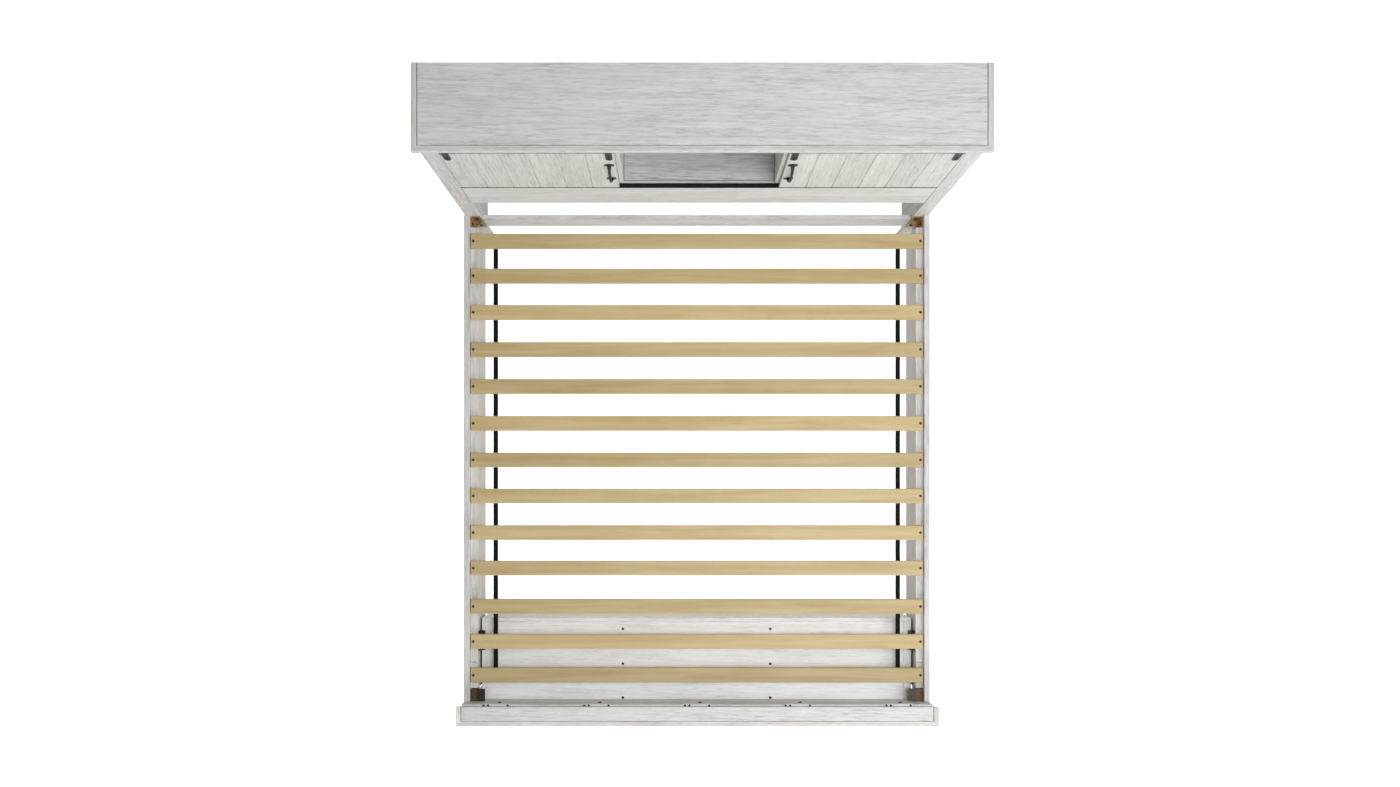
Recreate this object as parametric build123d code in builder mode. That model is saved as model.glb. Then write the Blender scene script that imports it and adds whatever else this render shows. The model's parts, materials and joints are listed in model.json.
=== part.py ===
from build123d import *
import os

# King storage bed with a bookcase headboard.  Millimetres, +Z up, +X to the right for someone who
# stands at the foot, +Y towards the head.  The origin is on the floor, under the middle of the bed.

# ---------------------------------------------------------------------------------------------
# Driving sizes
# ---------------------------------------------------------------------------------------------
bed_length = 2488           # back of the headboard to the front edge of the footboard cap
inner_width = 1958          # between the side rails: a king mattress and 14 mm each side
headboard_height = 1322
headboard_depth = 312       # of the headboard's top board, front edge to back edge
top_thickness = 20
front_overhang = 10         # top board past the face of the headboard
side_overhang = 24          # top board past the sides of the headboard
rail_setout = 4             # rails stand this far outside the headboard's sides
quirk_inset = 20            # moulded line from the edge of the top board and of the cap
quirk_width = 3
quirk_depth = 2.5
edge_round = 3              # rounding of the top board's and the cap's edges

face_thickness = 18         # stiles, header and lower rail of the headboard's face frame
stile_width = 62
side_thickness = 25
back_thickness = 8
back_inset = 2
shelf_top = 852
shelf_thickness = 20
divider_thickness = 15
header_bottom = 636
lower_rail_bottom = 266
lower_rail_top = 385
moulding_reach = 11
moulding_height = 18
track_board_height = 40
lipping_depth = 11.5        # shelf's front lipping, in front of its groove

door_thickness = 16.5
door_gap = 1.2              # beside the door, to the stile and to the other bay
door_bottom_gap = 4         # over the shelf level
door_head_gap = 3           # door's top edge under the track
plank_count = 6
groove_width = 4

strap_width = 25
strap_thickness = 3
strap_length = 91
strap_inset = 20            # hanger strap's middle to the door's edge
track_drop = 39             # underside of the track below the top board
track_height = 14
track_thickness = 5
track_setback = 3.5         # front of the track bar behind the headboard's face
roller_radius = 12
roller_root = 10            # bottom of the roller's groove
roller_width = 10
roller_play = 0.3
axle_radius = 3
axle_play = 0.08
standoff_count = 5
guide_height = 6
guide_slot = 6
guide_play = 0.8            # each side of the door's tongue in the slot

pull_length = 200
pull_plate_width = 26
pull_plate_height = 40
pull_bar_radius = 5
door_pull_reach = 35
drawer_pull_reach = 26
door_pull_inset = 24

rail_thickness = 24
rail_top = 450
rail_bottom = 200
ledge_thickness = 32
ledge_drop = 25             # ledge below the rail's top edge
ledge_bottom_rise = 28      # ledge's bottom edge above the rail's
# each slat's place against an even pitch, towards the head, from the first slat to the last
slat_setting = [1, 7, 6, 2, -1, -4, -6, -5, -7, -4, -13, -8, 3]
slat_width = 63.5
slat_thickness = 18
slat_end_gap = 3
first_slat = 111            # middle of the first slat from the headboard's face
last_slat = 111             # middle of the last slat from the footboard
webbing_inset = 109         # middle of a webbing strap from the rail
webbing_width = 20
webbing_thickness = 2

bracket_leg = 42
bracket_foot_leg = 54
bracket_thickness = 3
bracket_low_rise = 60       # bracket's bottom above the rail's
bracket_drop = 18           # bracket's top below the rail's
bolt_inset = 35             # outer bolts from the bracket's ends
case_bracket_reach = 24
bolt_head_radius = 6
bolt_head_height = 4
bolt_radius = 3.5
bolt_length = 20

cap_depth = 82
cap_top = 527
cap_thickness = 20
cap_side_overhang = 20
cap_front_overhang = 20
cap_back_reveal = 8         # inner board past the back edge of the cap
post_width = 65
foot_board_thickness = 15
foot_rail_thickness = 20
bottom_rail_bottom = 40
bottom_rail_top = 100

case_length = 356           # footboard's inner face to the head end of the drawer case
case_top = 375
case_panel = 18
case_side_thickness = 35
middle_bay = 626            # clear width of the drawer case's middle bay
drawer_gap = 3
drawer_recess = 8
drawer_front_thickness = 18
drawer_wall = 12
drawer_bottom = 6
glue_line = 0.2             # between the boards of a drawer box
drawer_box_rise = 15        # drawer box above the bottom rail's top edge
drawer_box_drop = 55        # drawer box below the case's top
runner_space = 13
runner_height = 38
runner_rise = 100           # runner's middle above the drawer box's bottom
runner_metal = 1.5
runner_play = 1

cleat_length = 120
cleat_drop = 42
cleat_thickness = 3
cleat_end_inset = 82        # middle of the outer cleats from the posts
cleat_count = 5

screw_head_radius = 4
screw_head_height = 1.8
screw_radius = 2
screw_length = 32
slat_screw_inset = 12
glide_height = 6
glide_radius = 12.5

# ---------------------------------------------------------------------------------------------
# Places that follow from them
# ---------------------------------------------------------------------------------------------
head_back = bed_length / 2
top_front = head_back - headboard_depth
face = top_front + front_overhang                       # front plane of headboard, doors and stiles
face_back = face + face_thickness
foot_front = -bed_length / 2
foot_face = foot_front + cap_depth + cap_back_reveal    # footboard's inner plane
frame_front = foot_front + cap_front_overhang

rail_inner = inner_width / 2
rail_outer = rail_inner + rail_thickness
body_half = rail_outer - rail_setout
top_half = body_half + side_overhang
cap_half = rail_outer + cap_side_overhang
side_inner = body_half - side_thickness
stile_inner = body_half - stile_width
under_top = headboard_height - top_thickness
track_bottom = under_top - track_drop
door_top = track_bottom - door_head_gap
bay = 2 * stile_inner / 3
niche_half = bay / 2 - divider_thickness
back_front = head_back - back_inset - back_thickness
header_top = shelf_top - guide_height

door_width = bay - 2 * door_gap
door_low = shelf_top + door_bottom_gap
door_pull_height = (door_low + door_top) / 2
guide_tongue = guide_slot - 2 * guide_play
track_top = track_bottom + track_height
track_front = face + track_setback
axle_height = track_top + roller_root + roller_play
roller_middle = track_front + track_thickness / 2
standoff_radius = 4
standoff_height = track_bottom + 6

ledge_inner = rail_inner - ledge_thickness
ledge_top = rail_top - ledge_drop
ledge_bottom = rail_bottom + ledge_bottom_rise
bracket_bottom = rail_bottom + bracket_low_rise
bracket_top = rail_top - bracket_drop
ledge_start = face - bracket_leg - 5
block_end = foot_face + bracket_foot_leg + 2
ledge_end = foot_face + 168
slat_half = rail_inner - slat_end_gap
slat_top = ledge_top + slat_thickness
slat_first_y = face - first_slat
slat_last_y = foot_face + last_slat
slat_pitch = (slat_first_y - slat_last_y) / (len(slat_setting) - 1)
slat_places = [slat_first_y - i * slat_pitch + shift for i, shift in enumerate(slat_setting)]
webbing_x = rail_inner - webbing_inset

cap_bottom = cap_top - cap_thickness
post_inner = rail_outer - post_width                    # half the width between the posts
cleat_pitch = 2 * (post_inner - cleat_end_inset) / (cleat_count - 1)
partition_middle = (middle_bay + case_panel) / 2
case_head = foot_face + case_length
case_back_front = case_head - case_panel
case_front = frame_front + foot_rail_thickness
case_side_inner = post_inner - case_side_thickness
drawer_face = frame_front + drawer_recess
drawer_back_face = drawer_face + drawer_front_thickness
box_end = case_back_front - 6

drawer_box_low = bottom_rail_top + drawer_box_rise
drawer_box_high = case_top - drawer_box_drop
runner_middle = drawer_box_low + runner_rise

half_partition = case_panel / 2
box_bays = [
    (-case_side_inner, -partition_middle - half_partition),
    (-partition_middle + half_partition, partition_middle - half_partition),
    (partition_middle + half_partition, case_side_inner),
]
front_bays = [(-post_inner, box_bays[0][1]), box_bays[1], (box_bays[2][0], post_inner)]
drawer_names = ["left", "middle", "right"]
sides = {"left": -1, "right": 1}


# ---------------------------------------------------------------------------------------------
# Helpers
# ---------------------------------------------------------------------------------------------
os.makedirs("parts", exist_ok=True)


def save(piece, name):
    """Label a finished piece and write it to its own file."""
    piece.part.label = name
    export_step(piece.part, f"parts/{name}.step")


def span(side, near, far):
    """Low and high X of a piece that reaches from near to far, measured out from the middle."""
    return (near, far) if side > 0 else (-far, -near)


def board(x, y, z, ease=0.0):
    """A board that fills the spans x, y and z, with all its edges eased."""
    with BuildPart() as piece:
        with BuildSketch(Plane.XY.offset(z[0])):
            with Locations(((x[0] + x[1]) / 2, (y[0] + y[1]) / 2)):
                Rectangle(x[1] - x[0], y[1] - y[0])
        extrude(amount=z[1] - z[0])
        if ease:
            fillet(piece.edges(), ease)
    return piece.part


def disc(place, direction, radius, height):
    """A round disc or shank that starts at place and runs along direction."""
    with BuildPart() as piece:
        with BuildSketch(Plane(origin=place, z_dir=direction)):
            Circle(radius)
        extrude(amount=height)
    return piece.part


def screw(place, into, head_radius, head_height, shank_radius, shank_length):
    """A screw with its head on the surface at place and its shank along into."""
    with BuildPart() as piece:
        with BuildSketch(Plane(origin=place, z_dir=into)):
            Circle(shank_radius)
        extrude(amount=shank_length)
        with BuildSketch(Plane(origin=place, z_dir=into)):
            Circle(head_radius)
        extrude(amount=-head_height)
    return piece.part


def plate(corners, plane, thickness):
    """A plate of polygon outline, drawn on a plane and raised by thickness."""
    with BuildPart() as piece:
        with BuildSketch(plane):
            with BuildLine():
                Polyline(*corners, close=True)
            make_face()
        extrude(amount=thickness)
    return piece.part


def group(name, pieces):
    """One node made of several pieces; those that touch become one solid."""
    with BuildPart() as node:
        add(pieces)
    save(node, name)


def wooden(name, x, y, z, ease=1.2):
    """One plain board as a node of its own."""
    group(name, [board(x, y, z, ease)])


# ---------------------------------------------------------------------------------------------
# Headboard: case
# ---------------------------------------------------------------------------------------------
with BuildPart() as headboard_top:
    add(board((-top_half, top_half), (top_front, head_back), (under_top, headboard_height)))
    front_edges = headboard_top.edges().filter_by(Axis.X).group_by(Axis.Y)[0]
    end_edges = headboard_top.edges().filter_by(Axis.Y)
    fillet(front_edges + end_edges, edge_round)
    # moulded line along the left, front and right edges, none along the back
    with BuildSketch(Plane.XY.offset(headboard_height)):
        with Locations((0, (top_front + quirk_inset + head_back) / 2)):
            Rectangle(2 * (top_half - quirk_inset), headboard_depth - quirk_inset)
        with Locations((0, (top_front + quirk_inset + quirk_width + head_back) / 2)):
            Rectangle(2 * (top_half - quirk_inset - quirk_width),
                      headboard_depth - quirk_inset - quirk_width, mode=Mode.SUBTRACT)
    extrude(amount=-quirk_depth, mode=Mode.SUBTRACT)
save(headboard_top, "headboard_top")

for name, side in sides.items():
    wooden(f"headboard_side_{name}", span(side, side_inner, body_half), (face_back, head_back),
           (glide_height, under_top))
group("headboard_stiles", [board(span(side, stile_inner, body_half), (face, face_back),
                                 (glide_height, under_top), 1.2) for side in sides.values()])

with BuildPart() as moulding:
    # cove under the top board's right end: a hollow between two straight quirks
    with BuildSketch(Plane(origin=(body_half, head_back, under_top), x_dir=(1, 0, 0),
                           z_dir=(0, -1, 0))):
        with BuildLine():
            Polyline((3, -moulding_height), (0, -moulding_height), (0, 0), (moulding_reach, 0),
                     (moulding_reach, -3))
            RadiusArc((moulding_reach, -3), (3, -moulding_height), -14)
        make_face()
    extrude(amount=head_back - face)
with BuildPart() as side_mouldings:
    add(moulding.part)
    mirror(moulding.part, about=Plane.YZ)
save(side_mouldings, "side_mouldings")

wooden("header_panel", (-stile_inner, stile_inner), (face, face_back), (header_bottom, header_top))
wooden("lower_rail", (-stile_inner, stile_inner), (face, face_back),
       (lower_rail_bottom, lower_rail_top))

with BuildPart() as case_shelf:
    add(board((-side_inner, side_inner), (face_back, back_front),
              (shelf_top - shelf_thickness, shelf_top), 1.2))
    with BuildSketch(Plane.XY.offset(shelf_top)):
        with Locations((0, face_back + lipping_depth)):
            Rectangle(2 * side_inner, 2)
    extrude(amount=-2, mode=Mode.SUBTRACT)
save(case_shelf, "case_shelf")

for name, side in sides.items():
    with BuildPart() as divider:
        add(board(span(side, niche_half, niche_half + divider_thickness), (face_back, back_front),
                  (shelf_top, under_top)))
        # notch that lets the track board run through
        with BuildSketch(Plane.XY.offset(under_top)):
            with Locations((0, face_back + face_thickness / 2)):
                Rectangle(2 * side_inner, face_thickness)
        extrude(amount=-track_board_height, mode=Mode.SUBTRACT)
    save(divider, f"divider_{name}")

wooden("headboard_back", (-side_inner, side_inner), (back_front, back_front + back_thickness),
       (shelf_top - shelf_thickness, under_top), 0.8)
wooden("track_board", (-side_inner, side_inner), (face_back, face_back + face_thickness),
       (under_top - track_board_height, under_top))

# ---------------------------------------------------------------------------------------------
# Headboard: door track and guide
# ---------------------------------------------------------------------------------------------
track_half = stile_inner - 2
roller_front = roller_middle - roller_width / 2
track_pieces = [board((-track_half, track_half), (track_front, track_front + track_thickness),
                      (track_bottom, track_top), 0.5)]
# end stops on top of the bar
for side in sides.values():
    track_pieces.append(board(span(side, track_half - 6, track_half),
                              (roller_front, roller_front + roller_width),
                              (track_top, track_top + roller_root)))
# standoffs to the track board, each with a bolt head in front of the bar
standoff_pitch = 2 * (track_half - 50) / (standoff_count - 1)
for i in range(standoff_count):
    x = -(track_half - 50) + i * standoff_pitch
    bar_back = track_front + track_thickness
    track_pieces.append(disc((x, bar_back, standoff_height), (0, 1, 0), standoff_radius,
                             face_back - bar_back))
    track_pieces.append(disc((x, track_front, standoff_height), (0, -1, 0), standoff_radius + 1,
                             track_setback - 1))
group("door_track", track_pieces)

with BuildPart() as door_guide:
    # channel on top of the header; the doors' tongues run in its slot
    guide_middle = face + door_thickness / 2
    add(board((-stile_inner, stile_inner), (face + 0.5, face_back - 0.5), (header_top, shelf_top)))
    with BuildSketch(Plane.XY.offset(shelf_top)):
        with Locations((0, guide_middle)):
            Rectangle(2 * stile_inner, guide_slot)
    extrude(amount=-(guide_height - 2), mode=Mode.SUBTRACT)
save(door_guide, "door_guide")


# ---------------------------------------------------------------------------------------------
# Sliding doors
# ---------------------------------------------------------------------------------------------
def forged_pull(name, middle, run, reach):
    """Bowed bar between two riveted plates, standing out towards the foot of the bed."""
    outward = Vector(0, -1, 0)
    along = Vector(*run)
    base = Plane(origin=middle, x_dir=along, z_dir=outward)
    profile = Plane(origin=middle, x_dir=along, z_dir=along.cross(outward))
    plate_middle = (pull_length - pull_plate_height) / 2
    plate_thickness = 3
    with BuildPart() as pull:
        with BuildLine(profile) as bow:
            ThreePointArc((-plate_middle, 1), (0, reach - pull_bar_radius), (plate_middle, 1))
        with BuildSketch(Plane(origin=bow.line @ 0, z_dir=bow.line % 0)):
            Circle(pull_bar_radius)
        sweep(path=bow.line)
        split(bisect_by=base, keep=Keep.TOP)
        with BuildSketch(base):
            with Locations((-plate_middle, 0), (plate_middle, 0)):
                RectangleRounded(pull_plate_height, pull_plate_width, 6)
        extrude(amount=plate_thickness)
        with BuildSketch(base.offset(plate_thickness)):
            for end in (-1, 1):
                rivet = end * (plate_middle + pull_plate_height / 2 - 7)
                with Locations((rivet, -6), (rivet, 6)):
                    Circle(2.5)
        extrude(amount=1.2)
    save(pull, name)


def hanger_strap(x):
    """Flat strap on the door's face, round at both ends, its top end around the roller's axle."""
    with BuildPart() as strap:
        with BuildSketch(Plane(origin=(x, face, axle_height), x_dir=(1, 0, 0), z_dir=(0, -1, 0))):
            with Locations((0, -(strap_length - strap_width / 2) / 2)):
                Rectangle(strap_width, strap_length - strap_width / 2)
            Circle(strap_width / 2)
            with Locations((0, -(strap_length - strap_width / 2))):
                Circle(strap_width / 2)
        extrude(amount=strap_thickness)
    return strap.part


for name, side in sides.items():
    inner_edge = bay / 2 + door_gap
    door_x = span(side, inner_edge, inner_edge + door_width)
    strap_xs = [side * (inner_edge + strap_inset), side * (inner_edge + door_width - strap_inset)]

    with BuildPart() as door:
        add(board(door_x, (face, face + door_thickness), (door_low, door_top)))
        # V grooves between the planks
        plank = door_width / plank_count
        with BuildSketch(Plane.XY.offset(door_low)):
            for i in range(1, plank_count):
                with Locations((door_x[0] + i * plank, face)):
                    Rectangle(groove_width / 2**0.5, groove_width / 2**0.5, rotation=45)
        extrude(amount=door_top - door_low, mode=Mode.SUBTRACT)
        # tongue under the door, in the guide's slot
        add(board(door_x, (guide_middle - guide_tongue / 2, guide_middle + guide_tongue / 2),
                  (door_low - guide_height, door_low)))
    save(door, f"door_{name}")

    axle_end = roller_front + roller_width + 0.3
    strap_front = face - strap_thickness
    hanger_pieces = []
    for x in strap_xs:
        hanger_pieces.append(hanger_strap(x))
        for drop in (0.62, 0.86):
            hanger_pieces.append(disc((x, strap_front, axle_height - drop * strap_length),
                                      (0, -1, 0), 4.5, 2.5))
        # axle with its head in front and a washer behind the roller
        hanger_pieces.append(disc((x, strap_front, axle_height), (0, -1, 0), 5.5, 2.5))
        hanger_pieces.append(disc((x, face, axle_height), (0, 1, 0), axle_radius,
                                  axle_end - face))
        hanger_pieces.append(disc((x, axle_end, axle_height), (0, 1, 0), axle_radius + 1.5, 1.5))
    group(f"door_{name}_hangers", hanger_pieces)

    forged_pull(f"door_{name}_pull", (side * (inner_edge + door_pull_inset), face, door_pull_height),
                (0, 0, 1), door_pull_reach)

    for place, x in zip(("inner", "outer"), strap_xs):
        flange = (roller_width - track_thickness - 1) / 2
        with BuildPart() as roller:
            with BuildSketch(Plane(origin=(x, roller_front, axle_height), z_dir=(0, 1, 0))):
                Circle(roller_radius)
            extrude(amount=roller_width)
            with BuildSketch(Plane(origin=(x, roller_front + flange, axle_height),
                                   z_dir=(0, 1, 0))):
                Circle(roller_radius + 1)
                Circle(roller_root, mode=Mode.SUBTRACT)
            extrude(amount=roller_width - 2 * flange, mode=Mode.SUBTRACT)
            with BuildSketch(Plane(origin=(x, roller_front, axle_height), z_dir=(0, 1, 0))):
                Circle(axle_radius + axle_play)
            extrude(amount=roller_width, mode=Mode.SUBTRACT)
        save(roller, f"roller_{name}_{place}")

# ---------------------------------------------------------------------------------------------
# Side rails, slats and their webbing
# ---------------------------------------------------------------------------------------------
for name, side in sides.items():
    wooden(f"rail_{name}", span(side, rail_inner, rail_outer), (foot_face, face),
           (rail_bottom, rail_top), 2)
    ledge_x = span(side, ledge_inner, rail_inner)
    group(f"ledge_{name}", [
        board(ledge_x, (ledge_end, ledge_start), (ledge_bottom, ledge_top), 1.2),
        board(ledge_x, (block_end, ledge_end - 1), (ledge_bottom, ledge_top), 1.2)])

group("slats", [board((-slat_half, slat_half), (y - slat_width / 2, y + slat_width / 2),
                      (ledge_top, slat_top), 2) for y in slat_places])

webbing_y = (slat_places[-1] - slat_width / 2 + 4, slat_places[0] + slat_width / 2 - 4)
group("slat_webbing", [board((side * webbing_x - webbing_width / 2,
                              side * webbing_x + webbing_width / 2), webbing_y,
                             (ledge_top - webbing_thickness, ledge_top))
                       for side in sides.values()])

# the same wood screws hold the slats to the ledges and the drawer case's top to its partitions;
# their heads are let in flush, so that a mattress lies on the slats alone
case_screw_places = [case_head - 50, case_head - case_length / 2 - 24, foot_face + 6]
screw_points = [(slat_half - slat_screw_inset, y, slat_top) for y in slat_places]
screw_points += [(partition_middle, y, case_top) for y in case_screw_places]
group("wood_screws", [screw((side * x, y, z - screw_head_height), (0, 0, -1), screw_head_radius,
                            screw_head_height, screw_radius, screw_length)
                      for x, y, z in screw_points for side in sides.values()])

# ---------------------------------------------------------------------------------------------
# Brackets and their bolts
# ---------------------------------------------------------------------------------------------
head_angles = []
for side in sides.values():
    # angle in the corner of rail and stile, with a web at mid height
    rail_leg = span(side, rail_inner - bracket_thickness, rail_inner)
    face_leg = span(side, rail_inner - bracket_leg, rail_inner)
    bracket_z = (bracket_bottom, bracket_top)
    corner = side * rail_inner
    head_angles.append(board(rail_leg, (face - bracket_leg, face), bracket_z))
    head_angles.append(board(face_leg, (face - bracket_thickness, face), bracket_z))
    head_angles.append(plate([(corner, face), (corner - side * bracket_leg, face),
                              (corner, face - bracket_leg)],
                             Plane.XY.offset((bracket_bottom + bracket_top) / 2),
                             bracket_thickness))
group("head_brackets", head_angles)

foot_angles = []
for side in sides.values():
    # the same angle at the foot, with a flat plate on top that reaches over the drawer case
    rail_leg = span(side, rail_inner - bracket_thickness, rail_inner)
    face_leg = span(side, post_inner + 2, rail_inner)
    top_plate = span(side, rail_inner - bracket_foot_leg - 10, rail_inner)
    leg_y = (foot_face, foot_face + bracket_foot_leg)
    foot_angles.append(board(rail_leg, leg_y, (bracket_bottom, bracket_top)))
    foot_angles.append(board(face_leg, (foot_face, foot_face + bracket_thickness),
                             (bracket_bottom, bracket_top)))
    foot_angles.append(board(top_plate, leg_y, (bracket_top - bracket_thickness, bracket_top)))
group("foot_brackets", foot_angles)

case_angles = []
for side in sides.values():
    # short angles that tie the drawer case to the ledge boards
    bracket_y = (case_head - 142, case_head - 55)
    case_angles.append(board(span(side, ledge_inner - case_bracket_reach, ledge_inner), bracket_y,
                             (case_top, case_top + bracket_thickness)))
    case_angles.append(board(span(side, ledge_inner - bracket_thickness, ledge_inner), bracket_y,
                             (case_top, ledge_top - 8)))
group("case_brackets", case_angles)

bolt = (bolt_head_radius, bolt_head_height, bolt_radius, bolt_length)
bolts = []
for side in sides.values():
    leg_x = side * (rail_inner - bracket_thickness)
    face_x = side * (rail_inner - bracket_leg / 2 - 4)
    post_x = side * (post_inner + 20)
    for z in (bracket_bottom + bolt_inset, bracket_top - bolt_inset):
        bolts.append(screw((leg_x, face - bracket_leg / 2 - 4, z), (side, 0, 0), *bolt))
        bolts.append(screw((face_x, face - bracket_thickness, z), (0, 1, 0), *bolt))
        bolts.append(screw((leg_x, foot_face + bracket_foot_leg / 2 + 6, z), (side, 0, 0), *bolt))
        bolts.append(screw((post_x, foot_face + bracket_thickness, z), (0, -1, 0), *bolt))
group("bracket_bolts", bolts)

# ---------------------------------------------------------------------------------------------
# Footboard
# ---------------------------------------------------------------------------------------------
with BuildPart() as footboard_cap:
    cap_back = foot_front + cap_depth
    add(board((-cap_half, cap_half), (foot_front, cap_back), (cap_bottom, cap_top)))
    front_edges = footboard_cap.edges().filter_by(Axis.X).group_by(Axis.Y)[0]
    end_edges = footboard_cap.edges().filter_by(Axis.Y)
    fillet(front_edges + end_edges, edge_round)
    with BuildSketch(Plane.XY.offset(cap_top)):
        with Locations((0, (foot_front + quirk_inset + cap_back) / 2)):
            Rectangle(2 * (cap_half - quirk_inset), cap_depth - quirk_inset)
        with Locations((0, (foot_front + quirk_inset + quirk_width + cap_back) / 2)):
            Rectangle(2 * (cap_half - quirk_inset - quirk_width),
                      cap_depth - quirk_inset - quirk_width, mode=Mode.SUBTRACT)
    extrude(amount=-quirk_depth, mode=Mode.SUBTRACT)
save(footboard_cap, "footboard_cap")

group("footboard_posts", [board(span(side, post_inner, rail_outer), (frame_front, foot_face),
                                (glide_height, cap_bottom), 2) for side in sides.values()])

between_posts = (-post_inner, post_inner)
wooden("footboard_inner_board", between_posts, (foot_face - foot_board_thickness, foot_face),
       (case_top, cap_bottom))
wooden("footboard_top_rail", between_posts, (frame_front, case_front),
       (case_top - case_panel, cap_bottom))
wooden("footboard_bottom_rail", between_posts, (frame_front, case_front),
       (bottom_rail_bottom, bottom_rail_top))

# cleats hooked over the inner board, against the back edge of the cap
cleats = []
cleat_places = [(i - (cleat_count - 1) / 2) * cleat_pitch for i in range(cleat_count)]
half = cleat_length / 2
for x in cleat_places:
    cleats.append(board((x - half, x + half),
                        (foot_face - cap_back_reveal, foot_face + cleat_thickness),
                        (cap_bottom, cap_bottom + cleat_thickness)))
    inner_face = Plane(origin=(x, foot_face, cap_bottom), x_dir=(-1, 0, 0), z_dir=(0, 1, 0))
    cleats.append(plate([(-half, 0), (half, 0), (cleat_drop / 2, -cleat_drop),
                         (-cleat_drop / 2, -cleat_drop)], inner_face, cleat_thickness))
group("cap_cleats", cleats)

# ---------------------------------------------------------------------------------------------
# Drawer case
# ---------------------------------------------------------------------------------------------
wooden("case_top_panel", (-case_side_inner, case_side_inner), (case_front, case_back_front),
       (case_top - case_panel, case_top))
wooden("case_back_panel", between_posts, (case_back_front, case_head), (bottom_rail_bottom, case_top))

group("case_sides", [board(span(side, case_side_inner, post_inner),
                           (drawer_back_face + drawer_gap, case_back_front),
                           (glide_height, case_top), 1.2) for side in sides.values()])

# partitions, notched at the foot end, where they stand behind the bottom rail
under_case_top = case_top - case_panel
partition_outline = [(case_front, glide_height), (case_back_front, glide_height),
                     (case_back_front, under_case_top), (case_front, under_case_top),
                     (frame_front, under_case_top), (frame_front, bottom_rail_top),
                     (case_front, bottom_rail_top)]
group("case_partitions", [
    plate(partition_outline, Plane(origin=(side * partition_middle - half_partition, 0, 0),
                                   x_dir=(0, 1, 0), z_dir=(1, 0, 0)), case_panel)
    for side in sides.values()])

cleat_screw = (3.2, 1.6, 1.6, 14)
small_screws = []
for x in cleat_places:
    for offset in (-52, -33, 51):
        small_screws.append(screw((x + offset, foot_face - 4, cap_bottom + cleat_thickness),
                                  (0, 0, -1), *cleat_screw))
    small_screws.append(screw((x + 12, foot_face + cleat_thickness, cap_bottom - cleat_drop * 0.6),
                              (0, -1, 0), *cleat_screw))
group("cleat_screws", small_screws)

# ---------------------------------------------------------------------------------------------
# Drawers and their runners
# ---------------------------------------------------------------------------------------------
runner_start = drawer_back_face + 2
runner_low = runner_middle - runner_height / 2
runner_high = runner_middle + runner_height / 2
slide_depth = runner_space - runner_metal - runner_play
slide_half = runner_height / 2 - runner_metal - runner_play

# steel channels on the walls of the bays, open towards the drawer
channels = []
deep = runner_space - 1
high = runner_height / 2
lip = high - runner_metal
for bay_x in box_bays:
    for wall, inward in ((bay_x[0], 1), (bay_x[1], -1)):
        outline = Plane(origin=(wall, runner_start, runner_middle), x_dir=(inward, 0, 0),
                        z_dir=(0, 1, 0))
        channels.append(plate([(0, -high), (deep, -high), (deep, -lip), (runner_metal, -lip),
                               (runner_metal, lip), (deep, lip), (deep, high), (0, high)],
                              outline, box_end - runner_start))
group("case_runners", channels)

drawer_low = bottom_rail_top + drawer_gap
drawer_high = case_top - case_panel - drawer_gap
for name, bay_x, front_x in zip(drawer_names, box_bays, front_bays):
    wooden(f"drawer_{name}_front", (front_x[0] + drawer_gap, front_x[1] - drawer_gap),
           (drawer_face, drawer_back_face), (drawer_low, drawer_high), 2)

    low, high = bay_x[0] + runner_space, bay_x[1] - runner_space
    inside = (low + drawer_wall + glue_line, high - drawer_wall - glue_line)
    box_z = (drawer_box_low, drawer_box_high)
    floor_z = (drawer_box_low + 6, drawer_box_low + 6 + drawer_bottom)
    front_wall = (drawer_back_face, drawer_back_face + drawer_wall)
    back_wall = (box_end - drawer_wall, box_end)
    group(f"drawer_{name}_box", [
        board((low, low + drawer_wall), (drawer_back_face, box_end), box_z, 1),
        board((high - drawer_wall, high), (drawer_back_face, box_end), box_z, 1),
        board(inside, front_wall, box_z, 1),
        board(inside, back_wall, box_z, 1),
        board(inside, (front_wall[1] + glue_line, back_wall[0] - glue_line), floor_z, 1)])

    slide_y = (runner_start, box_end)
    slide_z = (runner_middle - slide_half, runner_middle + slide_half)
    group(f"drawer_{name}_slides", [board((low - slide_depth, low), slide_y, slide_z),
                                    board((high, high + slide_depth), slide_y, slide_z)])

    forged_pull(f"drawer_{name}_pull",
                ((front_x[0] + front_x[1]) / 2, drawer_face, (drawer_low + drawer_high) / 2),
                (1, 0, 0), drawer_pull_reach)

# ---------------------------------------------------------------------------------------------
# Glides
# ---------------------------------------------------------------------------------------------
side_x = body_half - side_thickness / 2
post_x = (post_inner + rail_outer) / 2
case_x = post_inner - case_side_thickness / 2
case_ys = (case_front + 60, case_back_front - 25)
foot_places = [(side_x, face_back + 20, glide_radius), (side_x, head_back - 25, glide_radius),
               (post_x, (frame_front + foot_face) / 2, glide_radius)]
foot_places += [(case_x, y, glide_radius) for y in case_ys]
foot_places += [(partition_middle, y, half_partition) for y in case_ys]
group("glides", [disc((side * x, y, 0), (0, 0, 1), radius, glide_height)
                 for x, y, radius in foot_places for side in sides.values()])
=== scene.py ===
import json

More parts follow.
